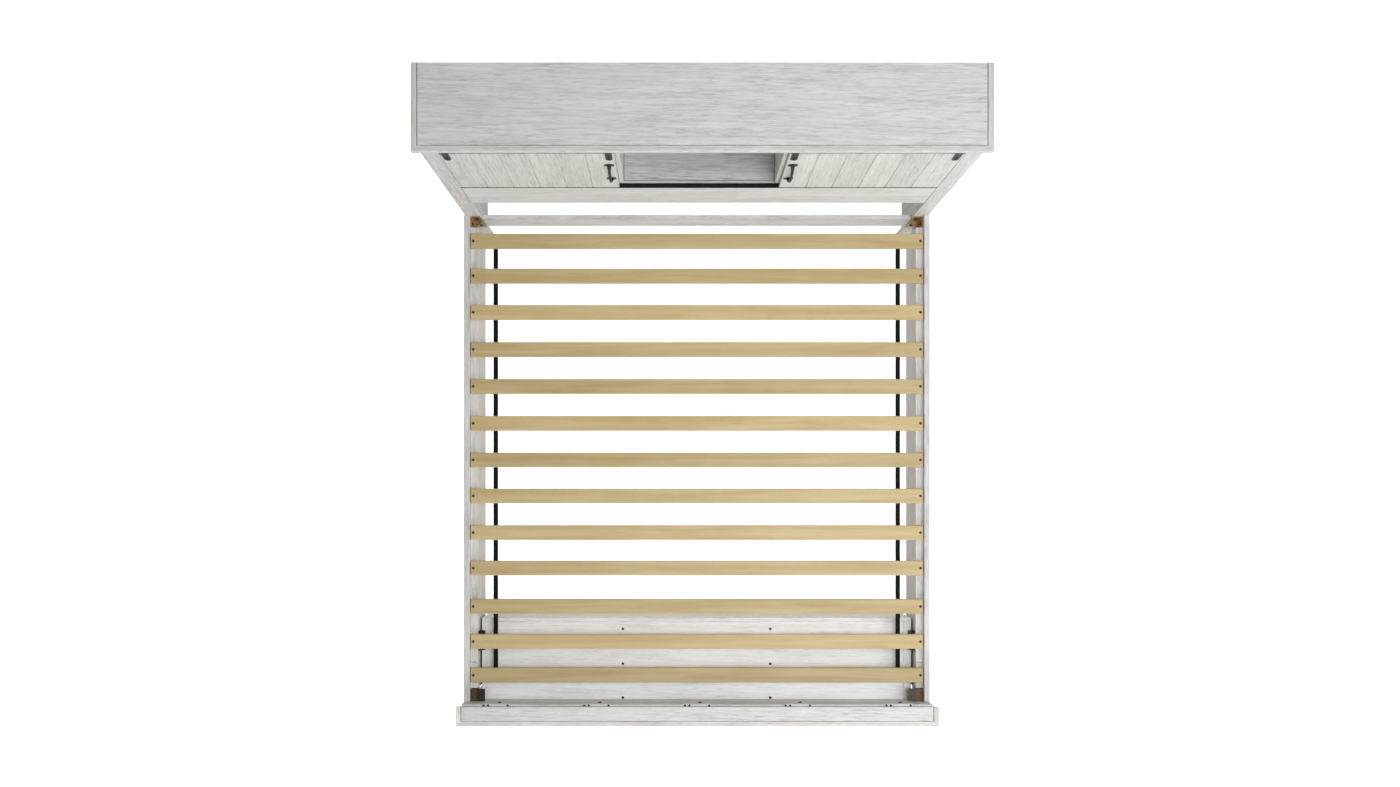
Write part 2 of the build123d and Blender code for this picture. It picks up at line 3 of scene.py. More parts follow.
import bpy
import numpy as np
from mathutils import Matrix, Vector

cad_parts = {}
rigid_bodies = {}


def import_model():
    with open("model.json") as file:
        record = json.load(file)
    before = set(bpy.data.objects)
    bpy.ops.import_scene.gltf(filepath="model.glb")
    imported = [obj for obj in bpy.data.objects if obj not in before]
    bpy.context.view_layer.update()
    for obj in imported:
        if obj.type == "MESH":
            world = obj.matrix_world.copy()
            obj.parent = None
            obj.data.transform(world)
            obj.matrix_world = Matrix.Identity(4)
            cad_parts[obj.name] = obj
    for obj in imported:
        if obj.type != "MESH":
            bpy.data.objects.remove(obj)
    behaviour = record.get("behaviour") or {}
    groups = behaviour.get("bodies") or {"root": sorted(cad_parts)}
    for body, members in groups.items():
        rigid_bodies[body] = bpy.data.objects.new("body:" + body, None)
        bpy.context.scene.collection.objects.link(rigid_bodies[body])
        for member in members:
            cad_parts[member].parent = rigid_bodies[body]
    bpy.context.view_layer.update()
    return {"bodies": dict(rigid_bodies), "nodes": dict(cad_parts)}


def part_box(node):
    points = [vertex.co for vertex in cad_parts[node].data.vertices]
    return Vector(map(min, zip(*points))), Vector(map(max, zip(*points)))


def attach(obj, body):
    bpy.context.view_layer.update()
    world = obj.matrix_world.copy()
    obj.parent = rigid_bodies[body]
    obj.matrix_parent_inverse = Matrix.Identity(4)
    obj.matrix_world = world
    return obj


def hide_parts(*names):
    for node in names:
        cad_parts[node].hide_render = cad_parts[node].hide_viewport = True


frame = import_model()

bl_info = {
    "name": "Storage bed with bookcase headboard",
    "version": (1, 0, 0),
    "blender": (4, 5, 0),
    "location": "View3D > Sidebar > Bed",
    "description": "Finished boards, slats, doors, drawers and ironwork around the bed's frame",
    "category": "Object",
}

MM = 0.001
X, Y, Z = 0, 1, 2
AXES = np.eye(3)
LEVEL = (AXES[X], AXES[Y])
QUARTER = np.pi / 2
SIDES = {"left": -1.0, "right": 1.0}
DRAWERS = ("left", "middle", "right")


# ---------------------------------------------------------------------------------------------
# Reading the frame
# ---------------------------------------------------------------------------------------------
def span(node):
    """Lowest and highest corner of a frame node, as two arrays in metres."""
    lo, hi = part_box(node)
    return np.array(lo), np.array(hi)


def shells(node):
    """Boxes of a node's separate solids, sorted by X, then Y, then Z.

    Vertices at one place are merged, then every vertex takes the lowest label of its faces until
    no label changes; each label left is one solid.
    """
    mesh = frame["nodes"][node].data
    points = np.empty(len(mesh.vertices) * 3)
    mesh.vertices.foreach_get("co", points)
    points = points.reshape(-1, 3)
    mesh.calc_loop_triangles()
    faces = np.empty(len(mesh.loop_triangles) * 3, dtype=np.int64)
    mesh.loop_triangles.foreach_get("vertices", faces)
    merged = np.unique(np.round(points, 6), axis=0, return_inverse=True)[1].reshape(-1)
    faces = merged[faces].reshape(-1, 3)
    label = np.arange(merged.max() + 1)
    while True:
        lowest = label[faces].min(axis=1)
        fresh = label.copy()
        for corner in range(3):
            np.minimum.at(fresh, faces[:, corner], lowest)
        if (fresh == label).all():
            break
        label = fresh
    owner = label[merged]
    boxes = [(points[owner == one].min(axis=0), points[owner == one].max(axis=0))
             for one in np.unique(owner)]
    return sorted(boxes, key=lambda box: tuple(np.round(box[0], 4)))


# ---------------------------------------------------------------------------------------------
# Closed shells worked out as whole arrays
# ---------------------------------------------------------------------------------------------
class Shell:
    """One closed surface: its points, four-sided faces, flat ends and what the finish reads."""

    def __init__(self, points, quads, ends=(), grain=None, edge=None, tone=0.5):
        self.points = np.asarray(points, dtype=float)
        self.quads = np.asarray(quads, dtype=np.int64).reshape(-1, 4)
        self.ends = [np.asarray(end, dtype=np.int64) for end in ends]
        self.grain = self.points.copy() if grain is None else np.asarray(grain, dtype=float)
        self.edge = np.zeros(len(self.points)) if edge is None else np.asarray(edge, dtype=float)
        self.tone = tone
        if self.volume() < 0:
            self.quads = self.quads[:, ::-1]
            self.ends = [end[::-1] for end in self.ends]

    def volume(self):
        """Enclosed volume: the sum of triple products of every face's fan, over six."""
        total = 0.0
        corners = self.points - self.points.mean(axis=0)
        for faces in [self.quads] + [end[None, :] for end in self.ends]:
            for second in range(1, faces.shape[1] - 1):
                a, b, c = (corners[faces[:, k]] for k in (0, second, second + 1))
                total += np.einsum("ij,ij->", a, np.cross(b, c))
        return total / 6

    def normals(self):
        """Vertex normals: the sum of each face's normal times its area, made unit length."""
        total = np.zeros_like(self.points)
        q = self.points[self.quads]
        cross = np.cross(q[:, 2] - q[:, 0], q[:, 3] - q[:, 1])
        for corner in range(4):
            np.add.at(total, self.quads[:, corner], cross)
        for end in self.ends:
            ring = self.points[end]
            total[end] += np.cross(ring, np.roll(ring, -1, axis=0)).sum(axis=0)
        length = np.linalg.norm(total, axis=1, keepdims=True)
        return total / np.where(length > 0, length, 1.0)


def circle(count):
    """Angles of points evenly round a full circle."""
    return np.linspace(0, 4 * QUARTER, count, endpoint=False)


def lattice(rows, columns, closed_rows=False):
    """Four-sided faces of a grid that closes on itself along its columns, and its rows if asked."""
    i = np.arange(rows if closed_rows else rows - 1)[:, None]
    j = np.arange(columns)[None, :]
    down, over = (i + 1) % rows, (j + 1) % columns
    here = np.stack([i * columns + j, i * columns + over, down * columns + over,
                     down * columns + j], axis=-1)
    return here.reshape(-1, 4)


def carried(rings, edge=None, grain=None, tone=0.5, closed=False):
    """A shell from rings of points carried along a path: rings[i, j] is point j of section i."""
    rows, columns = rings.shape[:2]
    ends = [] if closed else [np.arange(columns), (rows - 1) * columns + np.arange(columns)]
    flat = None if grain is None else grain.reshape(-1, 3)
    return Shell(rings.reshape(-1, 3), lattice(rows, columns, closed), ends, flat,
                 None if edge is None else edge.reshape(-1), tone)


def board_tone(number):
    """A tone from 0 to 1 and a place in the log for board number, the same on every run."""
    draw = np.random.default_rng(1000 + number).random(4)
    return draw[0], (draw[1:] - 0.5) * np.array([6.0, 4.0, 4.0])


def board(box, along, number, radius, steps=3, joint=0.0):
    """A board that fills box, its grain running along one axis.

    Section: a rounded rectangle, half size (b, c) less the corner radius r, plus r times
    (cos t, sin t) for t over four quarter turns.  The sections are carried along the board; at
    each end they draw in by r (1 - cos f) while the end comes on by r (1 - sin f), for f from a
    quarter turn to nothing, which rounds the end arrises as well.  Painted shade fills the last
    joint of its length at both ends, where it butts against another board.
    """
    lo, hi = (np.array(corner, dtype=float) for corner in box)
    a, b, c = along, (along + 1) % 3, (along + 2) % 3
    mid, half = (lo + hi) / 2, (hi - lo) / 2
    r = min(radius, 0.45 * half.min())
    turn = np.linspace(0, QUARTER, steps + 1)
    angle = np.concatenate([turn + quarter * QUARTER for quarter in range(4)])
    right = np.repeat([1.0, -1.0, -1.0, 1.0], steps + 1)
    up = np.repeat([1.0, 1.0, -1.0, -1.0], steps + 1)
    edging = np.array([joint, joint + 0.3 * MM]) if joint else np.zeros(0)
    level = np.zeros(len(edging))
    f = np.concatenate([turn[::-1], level, level, turn])
    station = np.concatenate([lo[a] + r * (1 - np.sin(turn[::-1])), lo[a] + edging,
                              hi[a] - edging[::-1], hi[a] - r * (1 - np.sin(turn))])
    inset = (r * (1 - np.cos(f)))[:, None]
    corner = np.maximum(r * np.cos(f), 0.06 * r)[:, None]
    rings = np.empty((len(f), len(angle), 3))
    rings[..., a] = station[:, None]
    rings[..., b] = mid[b] + right * (half[b] - inset - corner) + corner * np.cos(angle)
    rings[..., c] = mid[c] + up * (half[c] - inset - corner) + corner * np.sin(angle)
    edge = np.maximum(np.abs(np.sin(2 * np.tile(turn, 4)))[None, :],
                      np.abs(np.sin(2 * f))[:, None])
    # painted shade over the joint at both ends, where the board butts against another
    if joint:
        edge[:steps + 2] = edge[-steps - 2:] = 1.0
    tone, place = board_tone(number)
    wide, thick = (b, c) if half[b] >= half[c] else (c, b)
    grain = rings[..., [a, wide, thick]] - mid[[a, wide, thick]] + place
    return carried(rings, edge, grain, tone)


def boards(node, along, number, radius, joint=0.0):
    """One board for each separate solid of a frame node."""
    return [board(box, along, number + i, radius, joint=joint)
            for i, box in enumerate(shells(node))]


def run_of_profile(profile, start, direction, out, length, number, mitres=(0.0, 0.0),
                   rubbed=None):
    """A length of moulding: a closed profile carried along a straight run.

    Profile point (d, h) stands d along out and h up from the start; each end is cut to a mitre,
    so the section there shifts along the run by the mitre times d.  rubbed is the edge value of
    each profile point: the finish reads it as wear, and above 0.92 as painted shade.
    """
    direction, out = np.array(direction, dtype=float), np.array(out, dtype=float)
    d, h = profile[:, 0], profile[:, 1]
    base = np.array(start, dtype=float) + d[:, None] * out + h[:, None] * AXES[Z]
    first = base + (mitres[0] * d)[:, None] * direction
    last = base + (length - mitres[1] * d)[:, None] * direction
    rings = np.stack([first, last])
    tone, place = board_tone(number)
    grain = np.stack([rings @ direction, rings @ out, rings[..., Z]], axis=-1) + place
    edge = None if rubbed is None else np.tile(rubbed, (2, 1))
    return carried(rings, edge, grain, tone)


def turned(profile, place, axis, segments=24, closed=False, number=0):
    """A turned piece: profile points (radius, height) swung round an axis through place."""
    axis = np.array(axis, dtype=float)
    side = np.cross(axis, AXES[Z] if abs(axis[Z]) < 0.9 else AXES[X])
    side /= np.linalg.norm(side)
    other = np.cross(axis, side)
    profile = np.asarray(profile, dtype=float)
    t = circle(segments)
    swing = np.cos(t)[:, None] * side + np.sin(t)[:, None] * other
    rings = (np.array(place, dtype=float) + profile[:, 0, None, None] * swing
             + profile[:, 1, None, None] * axis)
    tone, shift = board_tone(number)
    return carried(rings, None, rings + shift, tone, closed)


def plate(outline, place, u, v, thickness, number=0, bevel=0.6 * MM):
    """A plate of any smooth outline on the plane of u and v, raised along u x v.

    Near each face the outline draws in along its own normal by b (1 - sin f) at height
    b (1 - cos f), f over a quarter turn, so both rims are rounded.
    """
    u, v = np.array(u, dtype=float), np.array(v, dtype=float)
    outline = np.asarray(outline, dtype=float)
    run = np.roll(outline, -1, axis=0) - np.roll(outline, 1, axis=0)
    area = np.sum(outline[:, 0] * np.roll(outline[:, 1], -1)
                  - outline[:, 1] * np.roll(outline[:, 0], -1))
    inward = np.stack([-run[:, 1], run[:, 0]], axis=1) * np.sign(area)
    inward /= np.linalg.norm(inward, axis=1, keepdims=True)
    f = np.linspace(0, QUARTER, 4)
    inset = np.concatenate([bevel * (1 - np.sin(f)), bevel * (1 - np.sin(f[::-1]))])
    height = np.concatenate([bevel * (1 - np.cos(f)), thickness - bevel * (1 - np.cos(f[::-1]))])
    flat = outline[None] + inset[:, None, None] * inward[None]
    rings = (np.array(place, dtype=float) + flat[..., :1] * u + flat[..., 1:] * v
             + height[:, None, None] * np.cross(u, v))
    edge = np.repeat(np.abs(np.sin(2 * np.concatenate([f, f[::-1]])))[:, None], len(outline), 1)
    tone, shift = board_tone(number)
    return carried(rings, edge, rings + shift, tone)


def rounded_outline(corners, radius, steps=4):
    """A closed outline with its corners rounded by quadratic curves.

    At a corner P between neighbours A and B the curve is (1-t)^2 A' + 2t(1-t) P + t^2 B', where
    A' and B' lie on the sides at the rounding's reach from P.
    """
    corners = np.asarray(corners, dtype=float)
    t = np.linspace(0, 1, steps + 1)[:, None]
    back, ahead = np.roll(corners, 1, axis=0) - corners, np.roll(corners, -1, axis=0) - corners
    reach = np.broadcast_to(radius, len(corners))[:, None]
    near = corners + back / np.linalg.norm(back, axis=1, keepdims=True) * reach
    far = corners + ahead / np.linalg.norm(ahead, axis=1, keepdims=True) * reach
    curves = ((1 - t) ** 2 * near[:, None] + 2 * t * (1 - t) * corners[:, None]
              + t ** 2 * far[:, None])
    return curves.reshape(-1, 2)


def rectangle(width, height):
    """Corners of a rectangle about its middle, anticlockwise."""
    return np.array([[-1, -1], [1, -1], [1, 1], [-1, 1]]) * [width / 2, height / 2]


def hexagon(across_flats):
    """A hexagon by its width across flats, corners rounded over an eighth of it."""
    t = np.pi / 6 + np.arange(6) * np.pi / 3
    corners = np.stack([np.cos(t), np.sin(t)], axis=1) * across_flats / 2 / np.cos(np.pi / 6)
    return rounded_outline(corners, 0.12 * across_flats, 2)


def across(axis):
    """Two unit vectors that make a right-handed set with axis as u x v."""
    axis = np.array(axis, dtype=float)
    u = np.cross(AXES[Z] if abs(axis[Z]) < 0.9 else AXES[Y], axis)
    u /= np.linalg.norm(u)
    return u, np.cross(axis, u)


def hex_bolt(place, outward, flats, height, number=0):
    """A hexagon bolt: a washer, a chamfered hexagon head and a low crown."""
    outward = np.array(outward, dtype=float)
    u, v = across(outward)
    place = np.array(place, dtype=float)
    washer = turned([(0.05 * flats, 0), (0.68 * flats, 0), (0.70 * flats, 0.1 * height),
                     (0.66 * flats, 0.22 * height), (0.05 * flats, 0.22 * height)],
                    place, outward, 28, number=number)
    head = plate(hexagon(flats), place + 0.2 * height * outward, u, v, 0.72 * height, number,
                 0.16 * height)
    crown = turned([(0.40 * flats, 0), (0.36 * flats, 0.06 * height),
                    (0.02 * flats, 0.07 * height)],
                   place + 0.92 * height * outward, outward, 24, number=number)
    return [washer, head, crown]


def cross_screw(place, outward, radius, height, number):
    """A screw head with a cross recess.

    Over radius r and angle t the face is a low dome h (1 - (r/R)^2 / 3) less a recess, whose depth
    is full where |r sin 2t| is small against the slot's half width, and fades at its rim.
    """
    u, v = across(outward)
    outward = np.array(outward, dtype=float)
    r = np.array([0.03, 0.14, 0.24, 0.34, 0.46, 0.56, 0.66, 0.8, 0.93, 1.0, 1.0])[:, None]
    t = circle(32)[None, :]
    slot = np.clip(1.6 - np.abs(r * np.sin(2 * t)) / 0.16, 0, 1)
    reach = np.clip((0.62 - r) / 0.14, 0, 1)
    dome = height * (1 - r ** 2 / 3)
    face = dome - 0.75 * height * slot * reach
    face[-1] = 0.0
    rings = (np.array(place, dtype=float) + (radius * r * np.cos(t))[..., None] * u
             + (radius * r * np.sin(t))[..., None] * v + face[..., None] * outward)
    tone, shift = board_tone(number)
    return carried(rings, None, rings + shift, tone)


def build(name, parts, material, body="bed_frame", replaces=()):
    """Put shells into one mesh object with its grain, edge and tone attributes, and place it."""
    points, normals, faces, grain, edge, tone = [], [], [], [], [], []
    count = 0
    for part in parts:
        points.append(part.points)
        normals.append(part.normals())
        grain.append(part.grain)
        edge.append(part.edge)
        tone.append(np.full(len(part.points), part.tone))
        faces.extend((part.quads + count).tolist())
        faces.extend((end + count).tolist() for end in part.ends)
        count += len(part.points)
    mesh = bpy.data.meshes.new(name)
    mesh.from_pydata(np.concatenate(points).tolist(), [], faces)
    mesh.polygons.foreach_set("use_smooth", np.ones(len(mesh.polygons), dtype=bool))
    for label, kind, values in (("grain", "FLOAT_VECTOR", np.concatenate(grain)),
                                ("edge", "FLOAT", np.concatenate(edge)),
                                ("tone", "FLOAT", np.concatenate(tone))):
        layer = mesh.attributes.new(label, kind, "POINT")
        field = "vector" if kind == "FLOAT_VECTOR" else "value"
        layer.data.foreach_set(field, values.reshape(-1))
    mesh.normals_split_custom_set_from_vertices(np.concatenate(normals).tolist())
    mesh.materials.append(material)
    piece = bpy.data.objects.new(name, mesh)
    bpy.context.scene.collection.objects.link(piece)
    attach(piece, body)
    if replaces:
        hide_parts(*replaces)
    return piece


def refinish(node, material):
    """Give a frame node that keeps its own shape a better material."""
    item = frame["nodes"][node]
    if not item.material_slots:
        item.data.materials.append(material)
    for place in item.material_slots:
        place.material = material


# ---------------------------------------------------------------------------------------------
# Materials
# ---------------------------------------------------------------------------------------------
class Web:
    """Adds nodes to a node tree, one call a node."""

    def __init__(self, tree):
        self.tree = tree

    def add(self, kind, inputs=None, **settings):
        node = self.tree.nodes.new(kind)
        for key, value in settings.items():
            setattr(node, key, value)
        for key, value in (inputs or {}).items():
            self.put(node.inputs[key], value)
        return node

    def put(self, socket, value):
        if isinstance(value, bpy.types.NodeSocket):
            self.tree.links.new(value, socket)
        else:
            socket.default_value = value

    def noise(self, vector, scale, detail=3.0, rough=0.5, twist=0.0, stretch=(1, 1, 1)):
        moved = self.add("ShaderNodeMapping", {"Vector": vector, "Scale": stretch})
        return self.add("ShaderNodeTexNoise", {"Vector": moved.outputs[0], "Scale": scale,
                                               "Detail": detail, "Roughness": rough,
                                               "Distortion": twist}).outputs[0]

    def sums(self, operation, first, second=0.5):
        return self.add("ShaderNodeMath", {0: first, 1: second}, operation=operation).outputs[0]

    def place(self):
        """Object coordinates, which are the shared frame's own."""
        return self.add("ShaderNodeTexCoord").outputs["Object"]

    def own(self, name, output):
        """One of a piece's own attributes."""
        return self.add("ShaderNodeAttribute", attribute_name=name).outputs[output]

    def split(self, vector):
        return self.add("ShaderNodeSeparateXYZ", {"Vector": vector}).outputs

    def band(self, value, low, high, to_low=0.0, to_high=1.0):
        return self.add("ShaderNodeMapRange", {"Value": value, "From Min": low, "From Max": high,
                                               "To Min": to_low, "To Max": to_high}).outputs[0]

    def mix(self, amount, first, second, blend="MIX"):
        node = self.add("ShaderNodeMix", data_type="RGBA", blend_type=blend)
        for index, value in ((0, amount), (6, first), (7, second)):
            self.put(node.inputs[index], value)
        return node.outputs[2]

    def toned(self, colour, tone, low, high, shade=1.0):
        """Colour times a level from low to high by the board's tone, and times each shade."""
        spread = self.add("ShaderNodeCombineColor")
        level = self.band(tone, 0.0, 1.0, low, high)
        for channel, share in enumerate(np.broadcast_to(shade, 3).tolist()):
            self.put(spread.inputs[channel], self.sums("MULTIPLY", level, share))
        return self.mix(1.0, colour, spread.outputs[0], "MULTIPLY")

    def coat(self, shader, colour, rough, relief, strength, depth):
        """Give the shader its colour, its roughness and a bump of the relief, depth metres deep."""
        self.put(shader.inputs["Base Color"], colour)
        self.put(shader.inputs["Roughness"], rough)
        bump = self.add("ShaderNodeBump",
                        {"Strength": strength, "Distance": depth, "Height": relief})
        self.put(shader.inputs["Normal"], bump.outputs[0])


def fresh_material(name):
    """A new material with its node helper and Principled shader, or the one already made."""
    old = bpy.data.materials.get(name)
    if old:
        return old, None, None
    material = bpy.data.materials.new(name)
    material.use_nodes = True
    tree = material.node_tree
    shader = next(node for node in tree.nodes if node.type == "BSDF_PRINCIPLED")
    return material, Web(tree), shader


def opaque(colour, share=1.0):
    """A colour times a share, with full alpha."""
    return (*(channel * share for channel in colour[:3]), 1.0)


def figure_source(web, along=None):
    """Grain vector, edge and tone: a piece's own attributes, or Object coordinates turned so that
    the grain runs along the given axis."""
    if along is None:
        return web.own("grain", "Vector"), web.own("edge", "Fac"), web.own("tone", "Fac")
    parts = web.split(web.place())
    turned_axes = {k: parts[(along + k) % 3] for k in range(3)}
    return web.add("ShaderNodeCombineXYZ", turned_axes).outputs[0], 0.0, 0.5


def limed_wood(name, along=None, shade=1.0, depth=1.0):
    """Limed open-grain veneer: pale wash over grey-beige streaks, pores and worn edges, with
    painted shade in quirks and joints.

    shade scales the colour, as one number or one for each channel, and depth the figure's
    contrast.
    """
    material, web, shader = fresh_material(name)
    if web is None:
        return material
    f = finish()
    grain, edge, tone = figure_source(web, along)
    cloud = web.noise(grain, 1.0, 3.0, 0.55, 0.0, (1.6, 8, 8))
    bend = web.add("ShaderNodeVectorMath", {0: cloud, 1: (0.0, 0.022, 0.022)},
                   operation="MULTIPLY")
    drift = web.add("ShaderNodeVectorMath", {0: grain, 1: bend.outputs[0]}, operation="ADD")
    flow = drift.outputs[0]
    streak = web.noise(flow, 1.0, 6.0, 0.70, 0.2, (2.0, 52, 52))
    line = web.noise(flow, 1.0, 3.0, 0.6, 0.5, (19.0, 215, 215))
    stroke = web.noise(flow, 1.0, 2.0, 0.55, 0.1, (9.0, 150, 150))
    pore = web.noise(flow, 1.0, 2.0, 0.5, 0.0, (40.0, 820, 820))
    blotch = web.noise(grain, 1.0, 3.0, 0.55, 0.0, (3.2, 13, 13))
    # arches: rings round a pith 60 mm behind the face, which climbs through it along the board
    parts = web.split(flow)
    rise = web.sums("MULTIPLY", parts[0], 0.05)
    pith = web.add("ShaderNodeCombineXYZ",
                   {0: web.sums("ADD", parts[1], rise), 1: 0.06}).outputs[0]
    ring = web.add("ShaderNodeVectorMath", {0: pith}, operation="LENGTH").outputs["Value"]
    arch = web.sums("FRACT", web.sums("ADD", web.sums("MULTIPLY", ring, 62.0),
                                      web.sums("MULTIPLY", streak, 1.6)))
    light, grey, brown, raw = (opaque(c) for c in (f.wash_light, f.wash_grey, f.wash_brown,
                                                   f.wash_raw))
    body = web.mix(web.band(streak, 0.38, 0.70, 0.0, 0.80), light, grey)
    body = web.mix(web.band(arch, 0.72, 1.0, 0.0, 0.26 * depth), body, brown)
    body = web.mix(web.band(line, 0.50, 0.72, 0.0, min(0.50 * depth, 1.0)), body, brown)
    body = web.mix(web.band(stroke, 0.55, 0.70, 0.0, 0.34 * depth), body, brown)
    veil = web.sums("MULTIPLY", web.band(pore, 0.56, 0.70), web.band(streak, 0.38, 0.62, 0.25, 0.9))
    body = web.mix(web.sums("MULTIPLY", veil, 0.60), body, brown)
    pale = web.mix(web.band(blotch, 0.40, 0.66, 0.0, 0.45), body, light)
    pale = web.toned(pale, tone, 0.955, 1.03, shade)
    rub = web.noise(grain, 1.0, 4.0, 0.6, 0.0, (26, 60, 60))
    wear = web.sums("MULTIPLY", web.band(edge, 0.35, 0.9), web.band(rub, 0.46, 0.62))
    colour = web.mix(web.sums("MULTIPLY", wear, 0.6), pale, raw)
    # painted shade: raw wood darkened to about 0.44 where the edge value passes 0.92, in the
    # quirks, at the joints' ends and on the left arris of the moulded boards
    edge_shade = web.mix(1.0, raw, (0.42, 0.44, 0.46, 1.0), "MULTIPLY")
    colour = web.mix(web.band(edge, 0.92, 1.0, 0.0, 0.85), colour, edge_shade)
    gloss = web.band(line, 0.3, 0.75, 0.44, 0.60)
    rough = web.sums("ADD", gloss, web.sums("MULTIPLY", veil, 0.15))
    relief = web.sums("SUBTRACT", web.band(line, 0.35, 0.8, 0.0, -0.5),
                      web.sums("MULTIPLY", veil, 0.6))
    web.coat(shader, colour, rough, relief, 0.35, 0.6 * MM)
    shader.inputs["Specular IOR Level"].default_value = 0.35
    return material


def birch(name, light, dark):
    """Clear-sealed birch: soft long figure, fine flecks, and stacked plies on the cut edges."""
    material, web, shader = fresh_material(name)
    if web is None:
        return material
    grain, _, tone = figure_source(web)
    light, dark = opaque(light), opaque(dark)
    figure = web.noise(grain, 1.0, 4.0, 0.55, 0.6, (1.6, 30, 30))
    fleck = web.noise(grain, 1.0, 3.0, 0.6, 0.0, (16.0, 620, 620))
    flame = web.noise(grain, 1.0, 2.0, 0.5, 1.2, (7.0, 9, 9))
    body = web.mix(web.band(figure, 0.34, 0.68), light, dark)
    body = web.mix(web.band(flame, 0.45, 0.75, 0.0, 0.35), body, light)
    body = web.mix(web.band(fleck, 0.56, 0.78, 0.0, 0.42), body, dark)
    # plies 1.6 mm thick, on faces that don't look up or down
    facing = web.add("ShaderNodeTexCoord").outputs["Normal"]
    side = web.band(web.sums("ABSOLUTE", web.split(facing)[Z]), 0.75, 0.45)
    level = web.sums("MULTIPLY", web.split(web.place())[Z], 1 / (1.6 * MM))
    layer = web.sums("PINGPONG", level, 1.0)
    glue = (dark[0] * 0.62, dark[1] * 0.55, dark[2] * 0.5, 1.0)
    ply = web.mix(web.band(layer, 0.35, 0.65), light, glue)
    body = web.mix(web.sums("MULTIPLY", side, 0.7), body, ply)
    web.coat(shader, web.toned(body, tone, 0.90, 1.06), web.band(fleck, 0.3, 0.75, 0.40, 0.54),
             web.band(fleck, 0.35, 0.8, 0.0, -1.0), 0.25, 0.4 * MM)
    shader.inputs["Specular IOR Level"].default_value = 0.4
    return material


def metal(name, colour, rough, hammer=0.0, metallic=1.0, rust=None):
    """Metal with mottled roughness, rubbed edges, and hammer dimples and specks in its relief.

    hammer is the dimples' strength, and rust the colour of the specks, where it has any.
    """
    material, web, shader = fresh_material(name)
    if web is None:
        return material
    place, edge = web.place(), web.own("edge", "Fac")
    mottle = web.noise(place, 90.0, 4.0, 0.6)
    speck = web.noise(place, 900.0, 2.0, 0.5)
    bright = opaque([min(channel * 1.7 + 0.02, 1.0) for channel in colour])
    body = web.mix(web.band(mottle, 0.35, 0.68), opaque(colour), opaque(colour, 0.6))
    rubbed = web.sums("MULTIPLY", web.band(edge, 0.4, 1.0),
                      web.band(mottle, 0.4, 0.6, 0.2, 0.8))
    body = web.mix(rubbed, body, bright)
    if rust:
        body = web.mix(web.band(speck, 0.58, 0.75, 0.0, 0.5), body, opaque(rust))
    cells = web.add("ShaderNodeTexVoronoi", {"Vector": place, "Scale": 140.0},
                    feature="SMOOTH_F1").outputs["Distance"]
    height = web.sums("ADD", web.sums("MULTIPLY", cells, hammer),
                      web.sums("MULTIPLY", speck, 0.12))
    web.coat(shader, body, web.band(mottle, 0.3, 0.72, rough - 0.08, rough + 0.12), height, 0.5,
             0.6 * MM)
    shader.inputs["Metallic"].default_value = metallic
    return material


def moulded(name, colour, rough=0.5):
    """Moulded plastic with a fine eggshell texture and faint scuffs."""
    material, web, shader = fresh_material(name)
    if web is None:
        return material
    place = web.place()
    shell = web.noise(place, 1400.0, 2.0, 0.5)
    scuff = web.noise(place, 1.0, 3.0, 0.6, 0.0, (60, 60, 240))
    body = web.mix(web.band(scuff, 0.5, 0.72, 0.0, 0.35), opaque(colour), opaque(colour, 0.8))
    web.coat(shader, body, web.band(scuff, 0.3, 0.7, rough - 0.06, rough + 0.1), shell, 0.2,
             0.3 * MM)
    return material


def woven_tape(name, colour):
    """Polypropylene tape: a twill that follows the tape's own length, with painted shade in its
    hollows and painted highlight on its ridges.
    """
    material, web, shader = fresh_material(name)
    if web is None:
        return material
    # warp yarns 1.1 mm apart across the tape, weft 1.4 mm apart along it
    parts = web.split(web.own("grain", "Vector"))
    warp = web.sums("MULTIPLY", parts[1], 1 / (1.1 * MM))
    weft = web.sums("MULTIPLY", parts[0], 1 / (1.4 * MM))
    rib = web.sums("PINGPONG", web.sums("ADD", warp, web.sums("MULTIPLY", weft, 0.5)), 1.0)
    yarn = web.sums("PINGPONG", weft, 1.0)
    height = web.sums("MULTIPLY", web.band(rib, 0.0, 1.0), web.band(yarn, 0.0, 1.0, 0.6, 1.0))
    # the colour follows the weave's height: painted shade in the hollows, painted highlight on the
    # ridges
    web.coat(shader, web.mix(height, opaque(colour, 0.4), opaque(colour, 1.8)),
             web.band(height, 0.0, 1.0, 0.75, 0.5), height, 0.6, 0.6 * MM)
    shader.inputs["Specular IOR Level"].default_value = 0.15
    return material


def wood():
    """The finish of most of the boards."""
    return limed_wood("limed_wood")


def iron():
    """The forged finish of the pulls, the hangers and the track."""
    return metal("black_iron", finish().iron, 0.46, 0.5, 0.7)


def black_screws():
    """The black oxide finish of the screws and bolts."""
    return metal("screw_steel", finish().screw, 0.62, 0.1, 0.0)


def zinc():
    """The plated finish of the drawers' runners."""
    return metal("zinc_plate", finish().zinc, 0.36, 0.05, 1.0)


# ---------------------------------------------------------------------------------------------
# Sizes and colours a user would change
# ---------------------------------------------------------------------------------------------
def colour_setting(name, text, default):
    return bpy.props.FloatVectorProperty(name=name, description=text, default=default, size=3,
                                         min=0.0, max=1.0, subtype="COLOR")


def length_setting(name, text, default):
    return bpy.props.FloatProperty(name=name, description=text, default=default, min=0.0,
                                   subtype="DISTANCE", unit="LENGTH")


def light_setting(name, text, default):
    return bpy.props.FloatProperty(name=name, description=text, default=default, min=0.0,
                                   unit="POWER")


